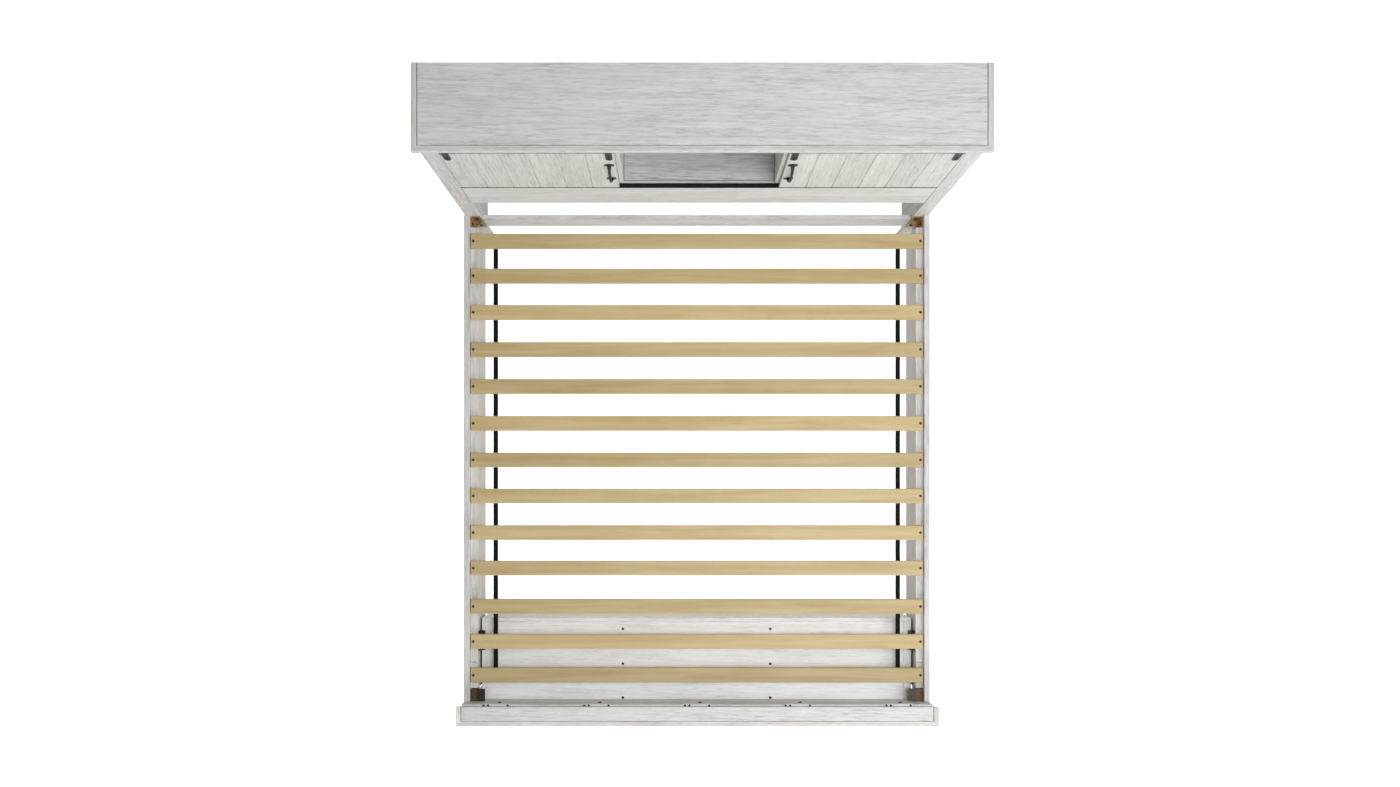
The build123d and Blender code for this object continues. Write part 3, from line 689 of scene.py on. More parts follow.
class BedFinish(bpy.types.PropertyGroup):
    """Colours of the bed's finishes."""
    wash_light: colour_setting("Wash", "Palest part of the limed wood", (0.81, 0.803, 0.79))
    wash_grey: colour_setting("Wash streak", "Grey streaks in the limed wood",
                              (0.61, 0.598, 0.58))
    wash_brown: colour_setting("Pores", "Pores that show through the wash",
                               (0.33, 0.305, 0.275))
    wash_raw: colour_setting("Raw wood", "Wood where the wash is rubbed off", (0.40, 0.31, 0.22))
    birch_light: colour_setting("Birch", "Light figure of the slats", (0.66, 0.525, 0.285))
    birch_dark: colour_setting("Birch figure", "Dark figure of the slats", (0.53, 0.385, 0.175))
    box_light: colour_setting("Drawer birch", "Light figure of the drawer boxes",
                              (0.74, 0.63, 0.45))
    box_dark: colour_setting("Drawer figure", "Dark figure of the drawer boxes",
                             (0.62, 0.49, 0.31))
    iron: colour_setting("Iron", "Pulls, hangers and track", (0.032, 0.031, 0.032))
    bronze: colour_setting("Chromate", "Corner angles at the head", (0.52, 0.33, 0.15))
    steel: colour_setting("Dark steel", "Brackets at the foot", (0.075, 0.062, 0.052))
    screw: colour_setting("Screw", "Wood screws and bolts", (0.03, 0.026, 0.023))
    tape: colour_setting("Tape", "Webbing under the slats", (0.0035, 0.0035, 0.004))
    cleat: colour_setting("Cleat", "Cleats on the footboard", (0.74, 0.73, 0.70))
    nylon: colour_setting("Nylon", "Glides and rollers", (0.10, 0.097, 0.093))
    zinc: colour_setting("Zinc", "Drawer runners", (0.56, 0.57, 0.58))


class BedSizes(bpy.types.PropertyGroup):
    """Small sizes that the frame doesn't give."""
    quirk_inset: length_setting("Edge moulding", "Width of the moulded edge", 20 * MM)
    quirk_width: length_setting("Quirk", "Width of the line beside the moulded edge", 3 * MM)
    quirk_depth: length_setting("Quirk depth", "Depth of that line", 2.5 * MM)
    arris: length_setting("Arris", "Rounding of the boards' edges", 1.6 * MM)
    slat_round: length_setting("Slat edge", "Rounding of the slats' edges", 3.5 * MM)
    sag: length_setting("Tape sag", "Fall of the tape between two slats", 2.5 * MM)
    plank_bevel: length_setting("Plank bevel", "Bevel between the doors' planks", 2.6 * MM)
    planks: bpy.props.IntProperty(name="Planks", description="Planks in each door", default=6,
                                  min=1, max=20)


class BedStage(bpy.types.PropertyGroup):
    """Camera and light."""
    camera_place: bpy.props.FloatVectorProperty(
        name="Camera", description="Where the camera stands", default=(-0.103, -0.315, 5.15),
        size=3, subtype="XYZ", unit="LENGTH")
    lens: bpy.props.FloatProperty(name="Lens", description="Focal length in millimetres",
                                  default=28.08, min=1.0)
    shift: bpy.props.FloatVectorProperty(name="Shift", description="Sideways and upward shift",
                                         default=(0.0193, 0.0811), size=2)
    key_power: light_setting("Key light", "Power of the large soft light", 100.0)
    front_power: light_setting("Front light", "Power of the light at the foot", 115.0)
    overhead_power: light_setting("Overhead light", "Power of the light above", 90.0)
    ambient: bpy.props.FloatProperty(name="Ambient", description="Strength of the room's light",
                                     default=0.27, min=0.0)


def finish():
    """The colours as they are set."""
    return bpy.context.scene.bed_finish


def sizes():
    """The sizes as they are set."""
    return bpy.context.scene.bed_sizes


PIECES = []


def piece_operator(cls):
    """Add an operator to the list that the panel shows and the main function calls."""
    PIECES.append(cls)
    return cls


# ---------------------------------------------------------------------------------------------
# Operators: one for each piece or group of like pieces
# ---------------------------------------------------------------------------------------------
@piece_operator
class BED_OT_stage(bpy.types.Operator):
    """Set out the pale floor, the soft light and the camera"""
    bl_idname = "bed.stage"
    bl_label = "Stage"

    def execute(self, context):
        stage, scene = context.scene.bed_stage, context.scene
        # a wide flat sheet: a square grid at floor level, 5 m between its lines
        rows, reach = 25, 60.0
        t, step = np.linspace(-reach, reach, rows), np.arange(rows - 1)
        x, y = (side.reshape(-1) for side in np.meshgrid(t, t, indexing="ij"))
        i, j = (side.reshape(-1, 1) for side in np.meshgrid(step, step, indexing="ij"))
        here, beyond = i * rows + j, (i + 1) * rows + j
        faces = np.hstack([here, beyond, beyond + 1, here + 1])
        mesh = bpy.data.meshes.new("floor")
        mesh.from_pydata(np.stack([x, y, np.zeros_like(x)], axis=1).tolist(), [], faces.tolist())
        mesh.polygons.foreach_set("use_smooth", np.ones(len(mesh.polygons), dtype=bool))
        floor = bpy.data.objects.new("floor", mesh)
        material, web, shader = fresh_material("pale_floor")
        if web:
            shader.inputs["Roughness"].default_value = 0.9
            web.put(shader.inputs["Base Color"],
                    web.mix(web.noise(web.place(), 3.0), (0.93,) * 3 + (1,), (0.95,) * 3 + (1,)))
            shader.inputs["Emission Color"].default_value = (1, 1, 1, 1)
            seen = web.add("ShaderNodeLightPath").outputs["Is Camera Ray"]
            web.put(shader.inputs["Emission Strength"], web.band(seen, 0.0, 1.0, 0.2, 0.85))
        mesh.materials.append(material)
        scene.collection.objects.link(floor)

        world = scene.world or bpy.data.worlds.new("studio")
        scene.world = world
        world.use_nodes = True
        background = next(node for node in world.node_tree.nodes if node.type == "BACKGROUND")
        web = Web(world.node_tree)
        seen = web.add("ShaderNodeLightPath").outputs["Is Camera Ray"]
        background.inputs["Color"].default_value = (1, 1, 1, 1)
        web.put(background.inputs["Strength"], web.band(seen, 0.0, 1.0, stage.ambient, 1.0))

        aim = (0, 0, 0.5)
        lamps = (("key", (4.2, -1.0, 4.6), 3.4, stage.key_power),
                 ("front", (0.8, -5.0, 2.6), 3.0, stage.front_power),
                 ("overhead", (1.3, -0.5, 5.5), 1.8, stage.overhead_power))
        for name, place, side, power in lamps:
            lamp = bpy.data.lights.new(name, "AREA")
            lamp.shape, lamp.size, lamp.energy = "SQUARE", side, power
            item = bpy.data.objects.new(name, lamp)
            item.location = place
            toward = Vector(aim) - Vector(place)
            item.rotation_euler = toward.to_track_quat("-Z", "Y").to_euler()
            scene.collection.objects.link(item)

        view = bpy.data.cameras.new("camera")
        view.lens, view.sensor_width, view.sensor_fit = stage.lens, 36.0, "HORIZONTAL"
        view.shift_x, view.shift_y = stage.shift
        view.clip_end = 500.0
        camera = bpy.data.objects.new("camera", view)
        camera.location = stage.camera_place
        scene.collection.objects.link(camera)
        scene.camera = camera
        scene.view_settings.view_transform = "Standard"
        return {"FINISHED"}


def wooden(node, along, number, radius, joint=0.0, material=None, body="bed_frame"):
    """Replace a frame node by limed boards, one for each of its solids."""
    build(f"{node}_board", boards(node, along, number, radius, joint), material or wood(),
          body, [node])


def edge_profile(width, height, quirk, depth, nose):
    """Closed section of the moulded edge, d in from the outer face, h down from the top.

    From the quirk's inner foot it climbs to the top, runs out to a shallow ovolo (a quarter
    ellipse), steps in, drops down a straight face and turns under with a small round.
    """
    t = np.linspace(0, QUARTER, 7)
    ovolo = np.stack([nose * (1 - np.sin(t)), -nose * (1 - np.cos(t))], axis=1)
    under = np.stack([0.7 * nose * (1 - np.cos(t)), -height + 0.7 * nose * (1 - np.sin(t))], axis=1)
    top = [[width, -depth], [width - 0.35 * quirk, -depth], [width - quirk, -0.5 * MM],
           [width - quirk - 0.5 * MM, 0]]
    return np.concatenate([top, ovolo, under, [[width, -height]]])


def moulded_board(node, number, edge_shade):
    """A board with a moulded edge mitred round its left, front and right sides, and its field.

    Its last argument gives how much painted shade lies in the quirk at the front, on the left and
    on the right, and how much painted shadow lies on the left side's outer arris, away from the
    light.
    """
    size, (lo, hi) = sizes(), span(node)
    rim, nose = size.quirk_inset + size.quirk_width, 3.2 * MM
    profile = edge_profile(rim, hi[Z] - lo[Z], size.quirk_width, size.quirk_depth, nose)
    wide, deep = hi[X] - lo[X], hi[Y] - lo[Y]
    # each run: its corner, its direction, the way inward, its length and its mitres
    runs = (((lo[X], lo[Y], hi[Z]), (1, 0, 0), (0, 1, 0), wide, (1, 1)),
            ((lo[X], hi[Y], hi[Z]), (0, -1, 0), (1, 0, 0), deep, (0, 1)),
            ((hi[X], lo[Y], hi[Z]), (0, 1, 0), (-1, 0, 0), deep, (1, 0)))
    parts = []
    for i, (corner, direction, inward, length, mitres) in enumerate(runs):
        # painted shade lies in the quirk, and the nose's round is rubbed
        rubbed = np.zeros(len(profile))
        rubbed[:3] = edge_shade[i]
        rubbed[5:10] = 0.7
        # on the left run the outer arris takes painted shadow, that side being turned from the
        # light
        if i == 1:
            rubbed[8:11] = edge_shade[3]
        parts.append(run_of_profile(profile, corner, direction, inward, length, number + i,
                                    mitres, rubbed))
    field = ((lo[X] + rim, lo[Y] + rim, lo[Z]), (hi[X] - rim, hi[Y], hi[Z]))
    return parts + [board(field, X, number + 3, 0.9 * MM)]


def moulded_piece(node, number, edge_shade):
    """Replace a frame node by a board with a moulded edge."""
    build(f"{node}_board", moulded_board(node, number, edge_shade), wood(),
          replaces=[node])


@piece_operator
class BED_OT_top_board(bpy.types.Operator):
    """Make the headboard's top board with its moulded edge"""
    bl_idname = "bed.top_board"
    bl_label = "Headboard top"

    def execute(self, context):
        # painted shade in the quirks, faint at the front and deepest on the left, and painted
        # shadow on the left arris
        moulded_piece("headboard_top", 10, (0.93, 1.0, 0.98, 1.0))
        return {"FINISHED"}


@piece_operator
class BED_OT_headboard(bpy.types.Operator):
    """Make the headboard's boards, its shelf, its back and the board behind the track"""
    bl_idname = "bed.headboard"
    bl_label = "Headboard case"

    def execute(self, context):
        # the header and the lower rail take a lighter, bluer copy of the limed wood, painted light
        # against the dim, warm light they get; their ends take painted shade where they butt
        # against the stiles
        face, joint_shade_width = limed_wood("limed_face_lit", None, (1.08, 1.10, 1.125)), 2.2 * MM
        for node, along, number, joint, material in (
                ("headboard_side_left", Z, 20, 0, None), ("headboard_side_right", Z, 21, 0, None),
                ("headboard_stiles", Z, 22, 0, None), ("header_panel", X, 24, joint_shade_width, face),
                ("lower_rail", X, 25, joint_shade_width, face), ("headboard_back", X, 26, 0, None),
                ("track_board", X, 27, 0, None)):
            wooden(node, along, number, sizes().arris, joint, material)
        # the shelf: a lipping along its front, and a middle panel framed by narrow lines of painted
        # shade
        lo, hi = span("case_shelf")
        lipping, gap = 11.5 * MM, 1.2 * MM
        line, side = lo[Y] + lipping, span("divider_right")[0][X] - gap
        back = line + gap
        parts = [board((lo, (hi[X], line - gap, hi[Z])), X, 30, 1.0 * MM)]
        parts += [board(((left, back, lo[Z]), (right, hi[Y], hi[Z])), X, number, 0.8 * MM)
                  for number, left, right in ((33, lo[X], -side - gap),
                                              (31, -side + gap, side - gap),
                                              (34, side + gap, hi[X]))]
        # the shelf's wood is darkened to 0.79 as painted shade inside the niche, its figure's
        # contrast raised
        build("case_shelf_board", parts, limed_wood("limed_shelf_shaded", None, 0.79, 1.5),
              replaces=["case_shelf"])
        # the narrow lines: dark boards 2 mm down in the gaps between the shelf's boards, as painted
        # shade in the joints
        floor = hi[Z] - 2 * MM
        lines = [board(((lo[X], line - gap, lo[Z]), (hi[X], back, floor)), X, 32, 0.2 * MM)]
        lines += [board(((x - gap, back, lo[Z]), (x + gap, hi[Y], floor)), Y, 35, 0.2 * MM)
                  for x in (-side, side)]
        build("case_shelf_shade_lines", lines, limed_wood("shade_line_wood", None, 0.2),
              replaces=["case_shelf"])
        for name in SIDES:
            refinish(f"divider_{name}", limed_wood("limed_upright", Z))
        return {"FINISHED"}


@piece_operator
class BED_OT_side_mouldings(bpy.types.Operator):
    """Make the cove mouldings under the ends of the top board"""
    bl_idname = "bed.side_mouldings"
    bl_label = "Cove mouldings"

    def execute(self, context):
        lo, hi = span("side_mouldings")
        reach, fillet, drop = 11 * MM, 3 * MM, hi[Z] - lo[Z]
        # cove: a quarter of an ellipse hollowed between two small fillets, d out, h down
        t = np.linspace(0, QUARTER, 12)
        cove = np.stack([reach - (reach - fillet) * np.sin(t),
                         -fillet - (drop - fillet) * (1 - np.cos(t))], axis=1)
        profile = np.concatenate([[[0, 0], [reach - 0.4 * MM, 0], [reach, -0.4 * MM]], cove,
                                  [[2.6 * MM, -drop], [0, -drop]]])
        parts = []
        for number, (sign, wall) in enumerate(((-1, lo[X]), (1, hi[X]))):
            parts.append(run_of_profile(profile, (wall - sign * reach, lo[Y], hi[Z]), (0, 1, 0),
                                        (sign, 0, 0), hi[Y] - lo[Y], 40 + number))
        build("side_cove_mouldings", parts, wood(), replaces=["side_mouldings"])
        return {"FINISHED"}


def plank(box, number, bevel, left, right):
    """An upright plank, its outer face at the low Y side, with bevelled long edges.

    The section runs round the box; a bevelled front corner leaves the face bevel in from the edge
    and meets the edge bevel back from the face, with a tiny round at each break.  An outer edge,
    where left or right is false, has 0.4 of the bevel.  The ends draw in over a round of 1.2 mm.
    """
    lo, hi = box
    tip = 1.2 * MM
    wide, deep = hi[X] - lo[X], hi[Y] - lo[Y]
    left, right = bevel * (1.0 if left else 0.4), bevel * (1.0 if right else 0.4)
    cuts = [[0, left], [left, 0], [wide - right, 0], [wide, right], [wide, deep], [0, deep]]
    outline = rounded_outline(cuts, 0.3 * MM, 2)
    end = np.linspace(0, QUARTER, 4)
    inset = np.concatenate([1 - np.sin(end), (1 - np.sin(end))[::-1]]) * tip
    low = lo[Z] + tip * (1 - np.cos(end))
    high = hi[Z] - tip * (1 - np.cos(end))[::-1]
    middle = np.array([wide / 2, deep / 2])
    shrink = 1 - inset[:, None, None] / middle
    flat = middle + (outline - middle)[None] * shrink
    rings = np.empty((len(inset), len(outline), 3))
    rings[..., X], rings[..., Y] = lo[X] + flat[..., 0], lo[Y] + flat[..., 1]
    rings[..., Z] = np.concatenate([low, high])[:, None]
    near = (outline[:, 1] > 0.02 * bevel) & (outline[:, 1] < 1.1 * bevel)
    edge = np.maximum((inset > 0.1 * MM)[:, None] * 0.8, 0.75 * near[None, :])
    tone, place = board_tone(number)
    grain = rings[..., [Z, X, Y]] + place
    return carried(rings, edge, grain, tone)


@piece_operator
class BED_OT_doors(bpy.types.Operator):
    """Make the two sliding doors from bevelled planks, with their tongues"""
    bl_idname = "bed.doors"
    bl_label = "Plank doors"

    def execute(self, context):
        size, seam, half_tongue = sizes(), 0.04 * MM, 2.2 * MM
        low = span("case_shelf")[1][Z] + 4 * MM
        for first, name in ((50, "left"), (60, "right")):
            node = f"door_{name}"
            lo, hi = span(node)
            cuts = np.linspace(lo[X], hi[X], size.planks + 1)
            parts = [plank(((left + seam, lo[Y], low), (right - seam, hi[Y], hi[Z])), first + i,
                           size.plank_bevel, i > 0, i < size.planks - 1)
                     for i, (left, right) in enumerate(zip(cuts[:-1], cuts[1:]))]
            middle = (lo[Y] + hi[Y]) / 2
            tongue = ((lo[X], middle - half_tongue, lo[Z]),
                      (hi[X], middle + half_tongue, low + 1 * MM))
            parts.append(board(tongue, X, first + 9, 0.5 * MM))
            build(f"{node}_planks", parts, wood(), body_of(node), [node])
        return {"FINISHED"}


def body_of(node):
    """The body a frame node rides on, by the name that the frame gives it."""
    parent = frame["nodes"][node].parent
    for name, empty in frame["bodies"].items():
        if empty == parent:
            return name
    raise RuntimeError(f"{node} rides on no body")


@piece_operator
class BED_OT_door_track(bpy.types.Operator):
    """Make the doors' track bar with its stops, standoffs and bolts, and finish the guide"""
    bl_idname = "bed.door_track"
    bl_label = "Door track"

    def execute(self, context):
        lo, hi = span("door_track")
        front, low = span("door_left")[0][Y] + 3.5 * MM, span("door_left")[1][Z] + 3 * MM
        thick, tall, count, end_inset, bolt_height = 5 * MM, 14 * MM, 5, 50 * MM, 6 * MM
        parts = [board(((lo[X], front, low), (hi[X], front + thick, low + tall)), X, 70, 1.1 * MM)]
        roller_lo, roller_hi = span("roller_left_inner")
        for sign in SIDES.values():
            ends = sorted((sign * hi[X], sign * (hi[X] - 6 * MM)))
            parts.append(board(((ends[0], roller_lo[Y], low + tall - 1 * MM),
                                (ends[1], roller_hi[Y], low + tall + 10 * MM)), Z, 71, 1.2 * MM))
        # standoff and bolt head, as radius and distance from the bar
        gap = hi[Y] - front - thick
        tube = [(0.4 * MM, 0), (4 * MM, 0), (4 * MM, gap), (0.4 * MM, gap)]
        cap = np.array([(0.2, 2.5), (3.2, 2.3), (4.6, 1.4), (5, 0.3), (4.9, 0), (0.2, 0)]) * MM
        for i, x in enumerate(np.linspace(-(hi[X] - end_inset), hi[X] - end_inset, count)):
            parts.append(turned(tube, (x, front + thick, low + bolt_height), (0, 1, 0), 20,
                                number=72 + i))
            parts.append(turned(cap, (x, front, low + bolt_height), (0, -1, 0), 24,
                                number=80 + i))
        build("door_track_bar", parts, iron(), replaces=["door_track"])
        refinish("door_guide", metal("guide_black", (0.003, 0.003, 0.0035), 0.8, 0.0, 0.0))
        return {"FINISHED"}


@piece_operator
class BED_OT_door_hangers(bpy.types.Operator):
    """Make the hanger straps with their carriage bolts and roller axles"""
    bl_idname = "bed.door_hangers"
    bl_label = "Door hangers"

    def execute(self, context):
        strap, half, thick, bolt = 91 * MM, 12.5 * MM, 3 * MM, 2.5 * MM
        # strap outline: two half circles joined by straight sides
        t = np.linspace(0, 2 * QUARTER, 15)
        round_end = half * np.stack([np.cos(t), np.sin(t)], axis=1)
        outline = np.concatenate([round_end, -round_end - [0, strap - half]])
        for name in SIDES:
            node = f"door_{name}_hangers"
            back, face = span(node)[1][Y], span(f"door_{name}")[0][Y]
            # the axle, with a collar at the back, as radius and distance from the door's face
            shank = back - 1.5 * MM - face
            axle_profile = [(0.3 * MM, 0), (3 * MM, 0), (3 * MM, shank), (4.5 * MM, shank),
                            (4.5 * MM, shank + 1.2 * MM), (4.1 * MM, shank + 1.5 * MM),
                            (0.3 * MM, shank + 1.5 * MM)]
            parts = []
            for place in ("inner", "outer"):
                roller_lo, roller_hi = span(f"roller_{name}_{place}")
                x, axle = (roller_lo[X] + roller_hi[X]) / 2, (roller_lo[Z] + roller_hi[Z]) / 2
                parts.append(plate(outline, (x, face, axle), AXES[X], AXES[Z], thick, 90,
                                   0.7 * MM))
                for share, flats, number in ((0.62, 7.6 * MM, 91), (0.86, 7.6 * MM, 91),
                                             (0.0, 9 * MM, 92)):
                    parts += hex_bolt((x, face - thick, axle - share * strap), (0, -1, 0), flats,
                                      bolt, number)
                parts.append(turned(axle_profile, (x, face, axle), (0, 1, 0), 24))
            build(f"{node}_straps", parts, iron(), body_of(node), [node])
        return {"FINISHED"}


@piece_operator
class BED_OT_rollers(bpy.types.Operator):
    """Make the grooved rollers that the doors hang from"""
    bl_idname = "bed.rollers"
    bl_label = "Rollers"

    def execute(self, context):
        nylon = moulded("roller_nylon", finish().nylon, 0.45)
        for name in SIDES:
            for place in ("inner", "outer"):
                node = f"roller_{name}_{place}"
                lo, hi = span(node)
                middle = (lo + hi) / 2
                r, w = (hi[Z] - lo[Z]) / 2, hi[Y] - lo[Y]
                # radius and height round the section: rim, groove, rim, dished web, hub and bore
                section = np.array([
                    (3.1, 0.0), (5.4, 0.0), (5.8, 0.7), (9.0, 0.9), (9.6, 0.1), (11.6, 0.0),
                    (12.0, 0.4), (12.0, 1.7), (11.6, 2.0), (10.0, 2.1), (10.0, 7.9), (11.6, 8.0),
                    (12.0, 8.3), (12.0, 9.6), (11.6, 10.0), (9.6, 9.9), (9.0, 9.1), (5.8, 9.3),
                    (5.4, 10.0), (3.1, 10.0)]) * MM
                section *= [r / (12 * MM), w / (10 * MM)]
                wheel = turned(section, (middle[X], lo[Y], middle[Z]), (0, 1, 0), 40, closed=True)
                build(f"{node}_wheel", [wheel], nylon, body_of(node), [node])
        return {"FINISHED"}


def forged_pull(middle, along, outward, length, reach, number):
    """A forged pull: a bowed bar flattened into two riveted leaves.

    The bar's middle line stands off by (reach - 7.4 mm) (1 - u^2)^0.62 + 2.4 mm for u from -1 to 1
    between the leaves; its section is an oval whose width swells and whose thickness falls towards
    the leaves, with a ripple of a fifth of a millimetre left by the hammer.
    """
    middle, along, outward = (np.array(v, dtype=float) for v in (middle, along, outward))
    side = np.cross(along, outward)
    leaf, thick = 40 * MM, 3 * MM
    half = (length - leaf) / 2
    u = np.sin(np.linspace(-QUARTER, QUARTER, 49))
    stand = (reach - 7.4 * MM) * (1 - u ** 2) ** 0.62 + 2.4 * MM
    path = middle + (half * u)[:, None] * along + stand[:, None] * outward
    run = np.gradient(path, axis=0)
    run /= np.linalg.norm(run, axis=1, keepdims=True)
    normal = np.cross(run, side)
    swell = np.abs(u) ** 6
    a = (5.0 + 2.5 * swell + 0.18 * np.sin(23 * u)) * MM
    b = (4.6 - 2.3 * swell + 0.15 * np.sin(17 * u + 1)) * MM
    t = circle(20)
    rings = (path[:, None] + (a[:, None] * np.cos(t))[..., None] * side
             + (b[:, None] * np.sin(t))[..., None] * normal[:, None])
    flat = 0.35 * np.repeat((1 - swell)[:, None], len(t), 1) * np.abs(np.cos(t))
    parts = [carried(rings, flat, rings + number, 0.5)]
    # leaf outline: narrow at the bar's foot, widest near its middle, a soft point at the tip
    corners = np.array([(-20, 0), (-14, 10), (4, 13), (14, 9), (20, 0), (14, -9), (4, -13),
                        (-14, -10)]) * MM
    outline = rounded_outline(corners, 4.2 * MM, 4)
    # rivet, as radius and height over the leaf
    dome = np.array([(0.2, 1.4), (1.2, 1.25), (2.1, 0.8), (2.6, 0.0), (2.5, -0.3),
                     (0.2, -0.3)]) * MM
    for end in SIDES.values():
        base = middle + end * half * along
        if np.dot(np.cross(along, side), outward) > 0:
            parts.append(plate(outline, base, end * along, end * side, thick, number, 0.9 * MM))
        else:
            parts.append(plate(outline[::-1], base, end * side, end * along, thick, number,
                               0.9 * MM))
        for spot in (-6 * MM, 6 * MM):
            place = base + end * 9.5 * MM * along + spot * side + thick * outward
            parts.append(turned(dome, place, outward, 18, number=number))
    return parts


@piece_operator
class BED_OT_pulls(bpy.types.Operator):
    """Make the forged pulls of the doors and the drawers"""
    bl_idname = "bed.pulls"
    bl_label = "Pulls"

    def execute(self, context):
        places = [(f"door_{name}_pull", Z) for name in SIDES]
        places += [(f"drawer_{name}_pull", X) for name in DRAWERS]
        for number, (node, along) in enumerate(places):
            lo, hi = span(node)
            middle = (lo + hi) / 2
            middle[Y] = hi[Y]
            build(f"{node}_forged", forged_pull(middle, AXES[along], (0, -1, 0),
                                                hi[along] - lo[along], hi[Y] - lo[Y], number),
                  iron(), body_of(node), [node])
        return {"FINISHED"}


@piece_operator
class BED_OT_rails(bpy.types.Operator):
    """Make the side rails and the ledges that carry the slats"""
    bl_idname = "bed.rails"
    bl_label = "Side rails"

    def execute(self, context):
        for number, name in ((100, "left"), (110, "right")):
            wooden(f"rail_{name}", Y, number, 2 * MM)
            build(f"ledge_{name}_boards", boards(f"ledge_{name}", Y, number + 2, sizes().arris),
                  wood(), replaces=[f"ledge_{name}"])
        return {"FINISHED"}


@piece_operator
class BED_OT_slats(bpy.types.Operator):
    """Make the birch slats"""
    bl_idname = "bed.slats"
    bl_label = "Slats"

    def execute(self, context):
        f = finish()
        places = sorted(shells("slats"), key=lambda box: -box[0][Y])
        parts = [board(box, X, 120 + i, sizes().slat_round, 5) for i, box in enumerate(places)]
        build("slats_birch", parts, birch("birch_slats", f.birch_light, f.birch_dark),
              replaces=["slats"])
        return {"FINISHED"}


@piece_operator
class BED_OT_webbing(bpy.types.Operator):
    """Make the two tapes that tie the slats together from below"""
    bl_idname = "bed.webbing"
    bl_label = "Webbing"

    def execute(self, context):
        places = sorted(shells("slats"), key=lambda box: box[0][Y])
        lo_y, hi_y = (np.array([box[k][Y] for box in places]) for k in (0, 1))
        parts = []
        # stations: three under each slat, and nine between it and the next
        under = [np.linspace(start, stop, 3) for start, stop in zip(lo_y, hi_y)]
        between = [np.linspace(start, stop, 11)[1:-1] for start, stop in zip(hi_y[:-1], lo_y[1:])]
        stations = np.concatenate([under[0]] + [np.concatenate(pair)
                                                for pair in zip(between, under[1:])])
        for lo, hi in shells("slat_webbing"):
            y = np.clip(stations, lo[Y], hi[Y])
            # between two slats the tape falls by sag (1 - (2s - 1)^2), s the share of the gap
            fall = np.zeros_like(y)
            for start, stop in zip(hi_y[:-1], lo_y[1:]):
                s = (y - start) / (stop - start)
                fall += np.where((s > 0) & (s < 1), sizes().sag * (1 - (2 * s - 1) ** 2), 0)
            half, thick = (hi[X] - lo[X]) / 2, 0.5 * (hi[Z] - lo[Z])
            t = circle(16)
            # section: a superellipse of exponent 5, flat with rounded selvedges
            cx = np.sign(np.cos(t)) * np.abs(np.cos(t)) ** 0.4 * half
            cz = np.sign(np.sin(t)) * np.abs(np.sin(t)) ** 0.4 * thick * 0.9
            rings = np.empty((len(y), len(t), 3))
            rings[..., X] = (lo[X] + hi[X]) / 2 + cx
            rings[..., Y] = y[:, None]
            rings[..., Z] = hi[Z] - thick - fall[:, None] + cz
            parts.append(carried(rings, None, rings[..., [Y, X, Z]]))
        build("slat_tapes", parts, woven_tape("woven_tape", finish().tape),
              replaces=["slat_webbing"])
        return {"FINISHED"}


def middles(node):
    """Middle, low corner and high corner of each solid of a frame node."""
    return [((lo + hi) / 2, lo, hi) for lo, hi in shells(node)]


@piece_operator
class BED_OT_wood_screws(bpy.types.Operator):
    """Make the cross-head wood screws in the slats and the drawer case"""
    bl_idname = "bed.wood_screws"
    bl_label = "Wood screws"

    def execute(self, context):
        parts = [cross_screw((middle[X], middle[Y], hi[Z] - 0.1 * MM), AXES[Z], 5.8 * MM,
                             0.9 * MM, number)
                 for number, (middle, _, hi) in enumerate(middles("wood_screws"))]
        build("wood_screw_heads", parts, black_screws(), replaces=["wood_screws"])
        return {"FINISHED"}


def bent_angle(corner, legs, reaches, thickness, bottom, top, number):
    """A steel angle with a bent corner.

    The section's outer line runs leg, corner, leg; its inner line has a round of 1.6 times the
    thickness at the bend.  It is carried up along Z, drawn in a little at both ends.
    """
    corner = np.array(corner, dtype=float)
    first, second = (np.array(leg, dtype=float) for leg in legs)
    a, b = reaches
    t = np.linspace(0, QUARTER, 6)
    bend = 1.6 * thickness
    inner = thickness + bend * np.stack([1 - np.sin(t), 1 - np.cos(t)], axis=1)
    r = 0.35 * thickness
    outline = np.concatenate([
        [[0, 0.4 * r], [0.4 * r, 0], [a - r, 0], [a, r], [a, thickness - r], [a - r, thickness]],
        inner,
        [[thickness, b - r], [thickness - r, b], [r, b], [0, b - r]]])
    inset = np.array([0.4, 0.1, 0.0, 0.0, 0.1, 0.4]) * MM
    height = np.array([bottom, bottom + 0.15 * MM, bottom + 0.6 * MM, top - 0.6 * MM,
                       top - 0.15 * MM, top])
    rings = np.empty((6, len(outline), 3))
    flat = corner[:2] + outline[:, :1] * first[:2] + outline[:, 1:] * second[:2]
    rings[..., :2] = flat[None] + inset[:, None, None] * (first + second)[:2] * 0.3
    rings[..., Z] = height[:, None]
    tone, place = board_tone(number)
    return carried(rings, None, rings + place, tone)


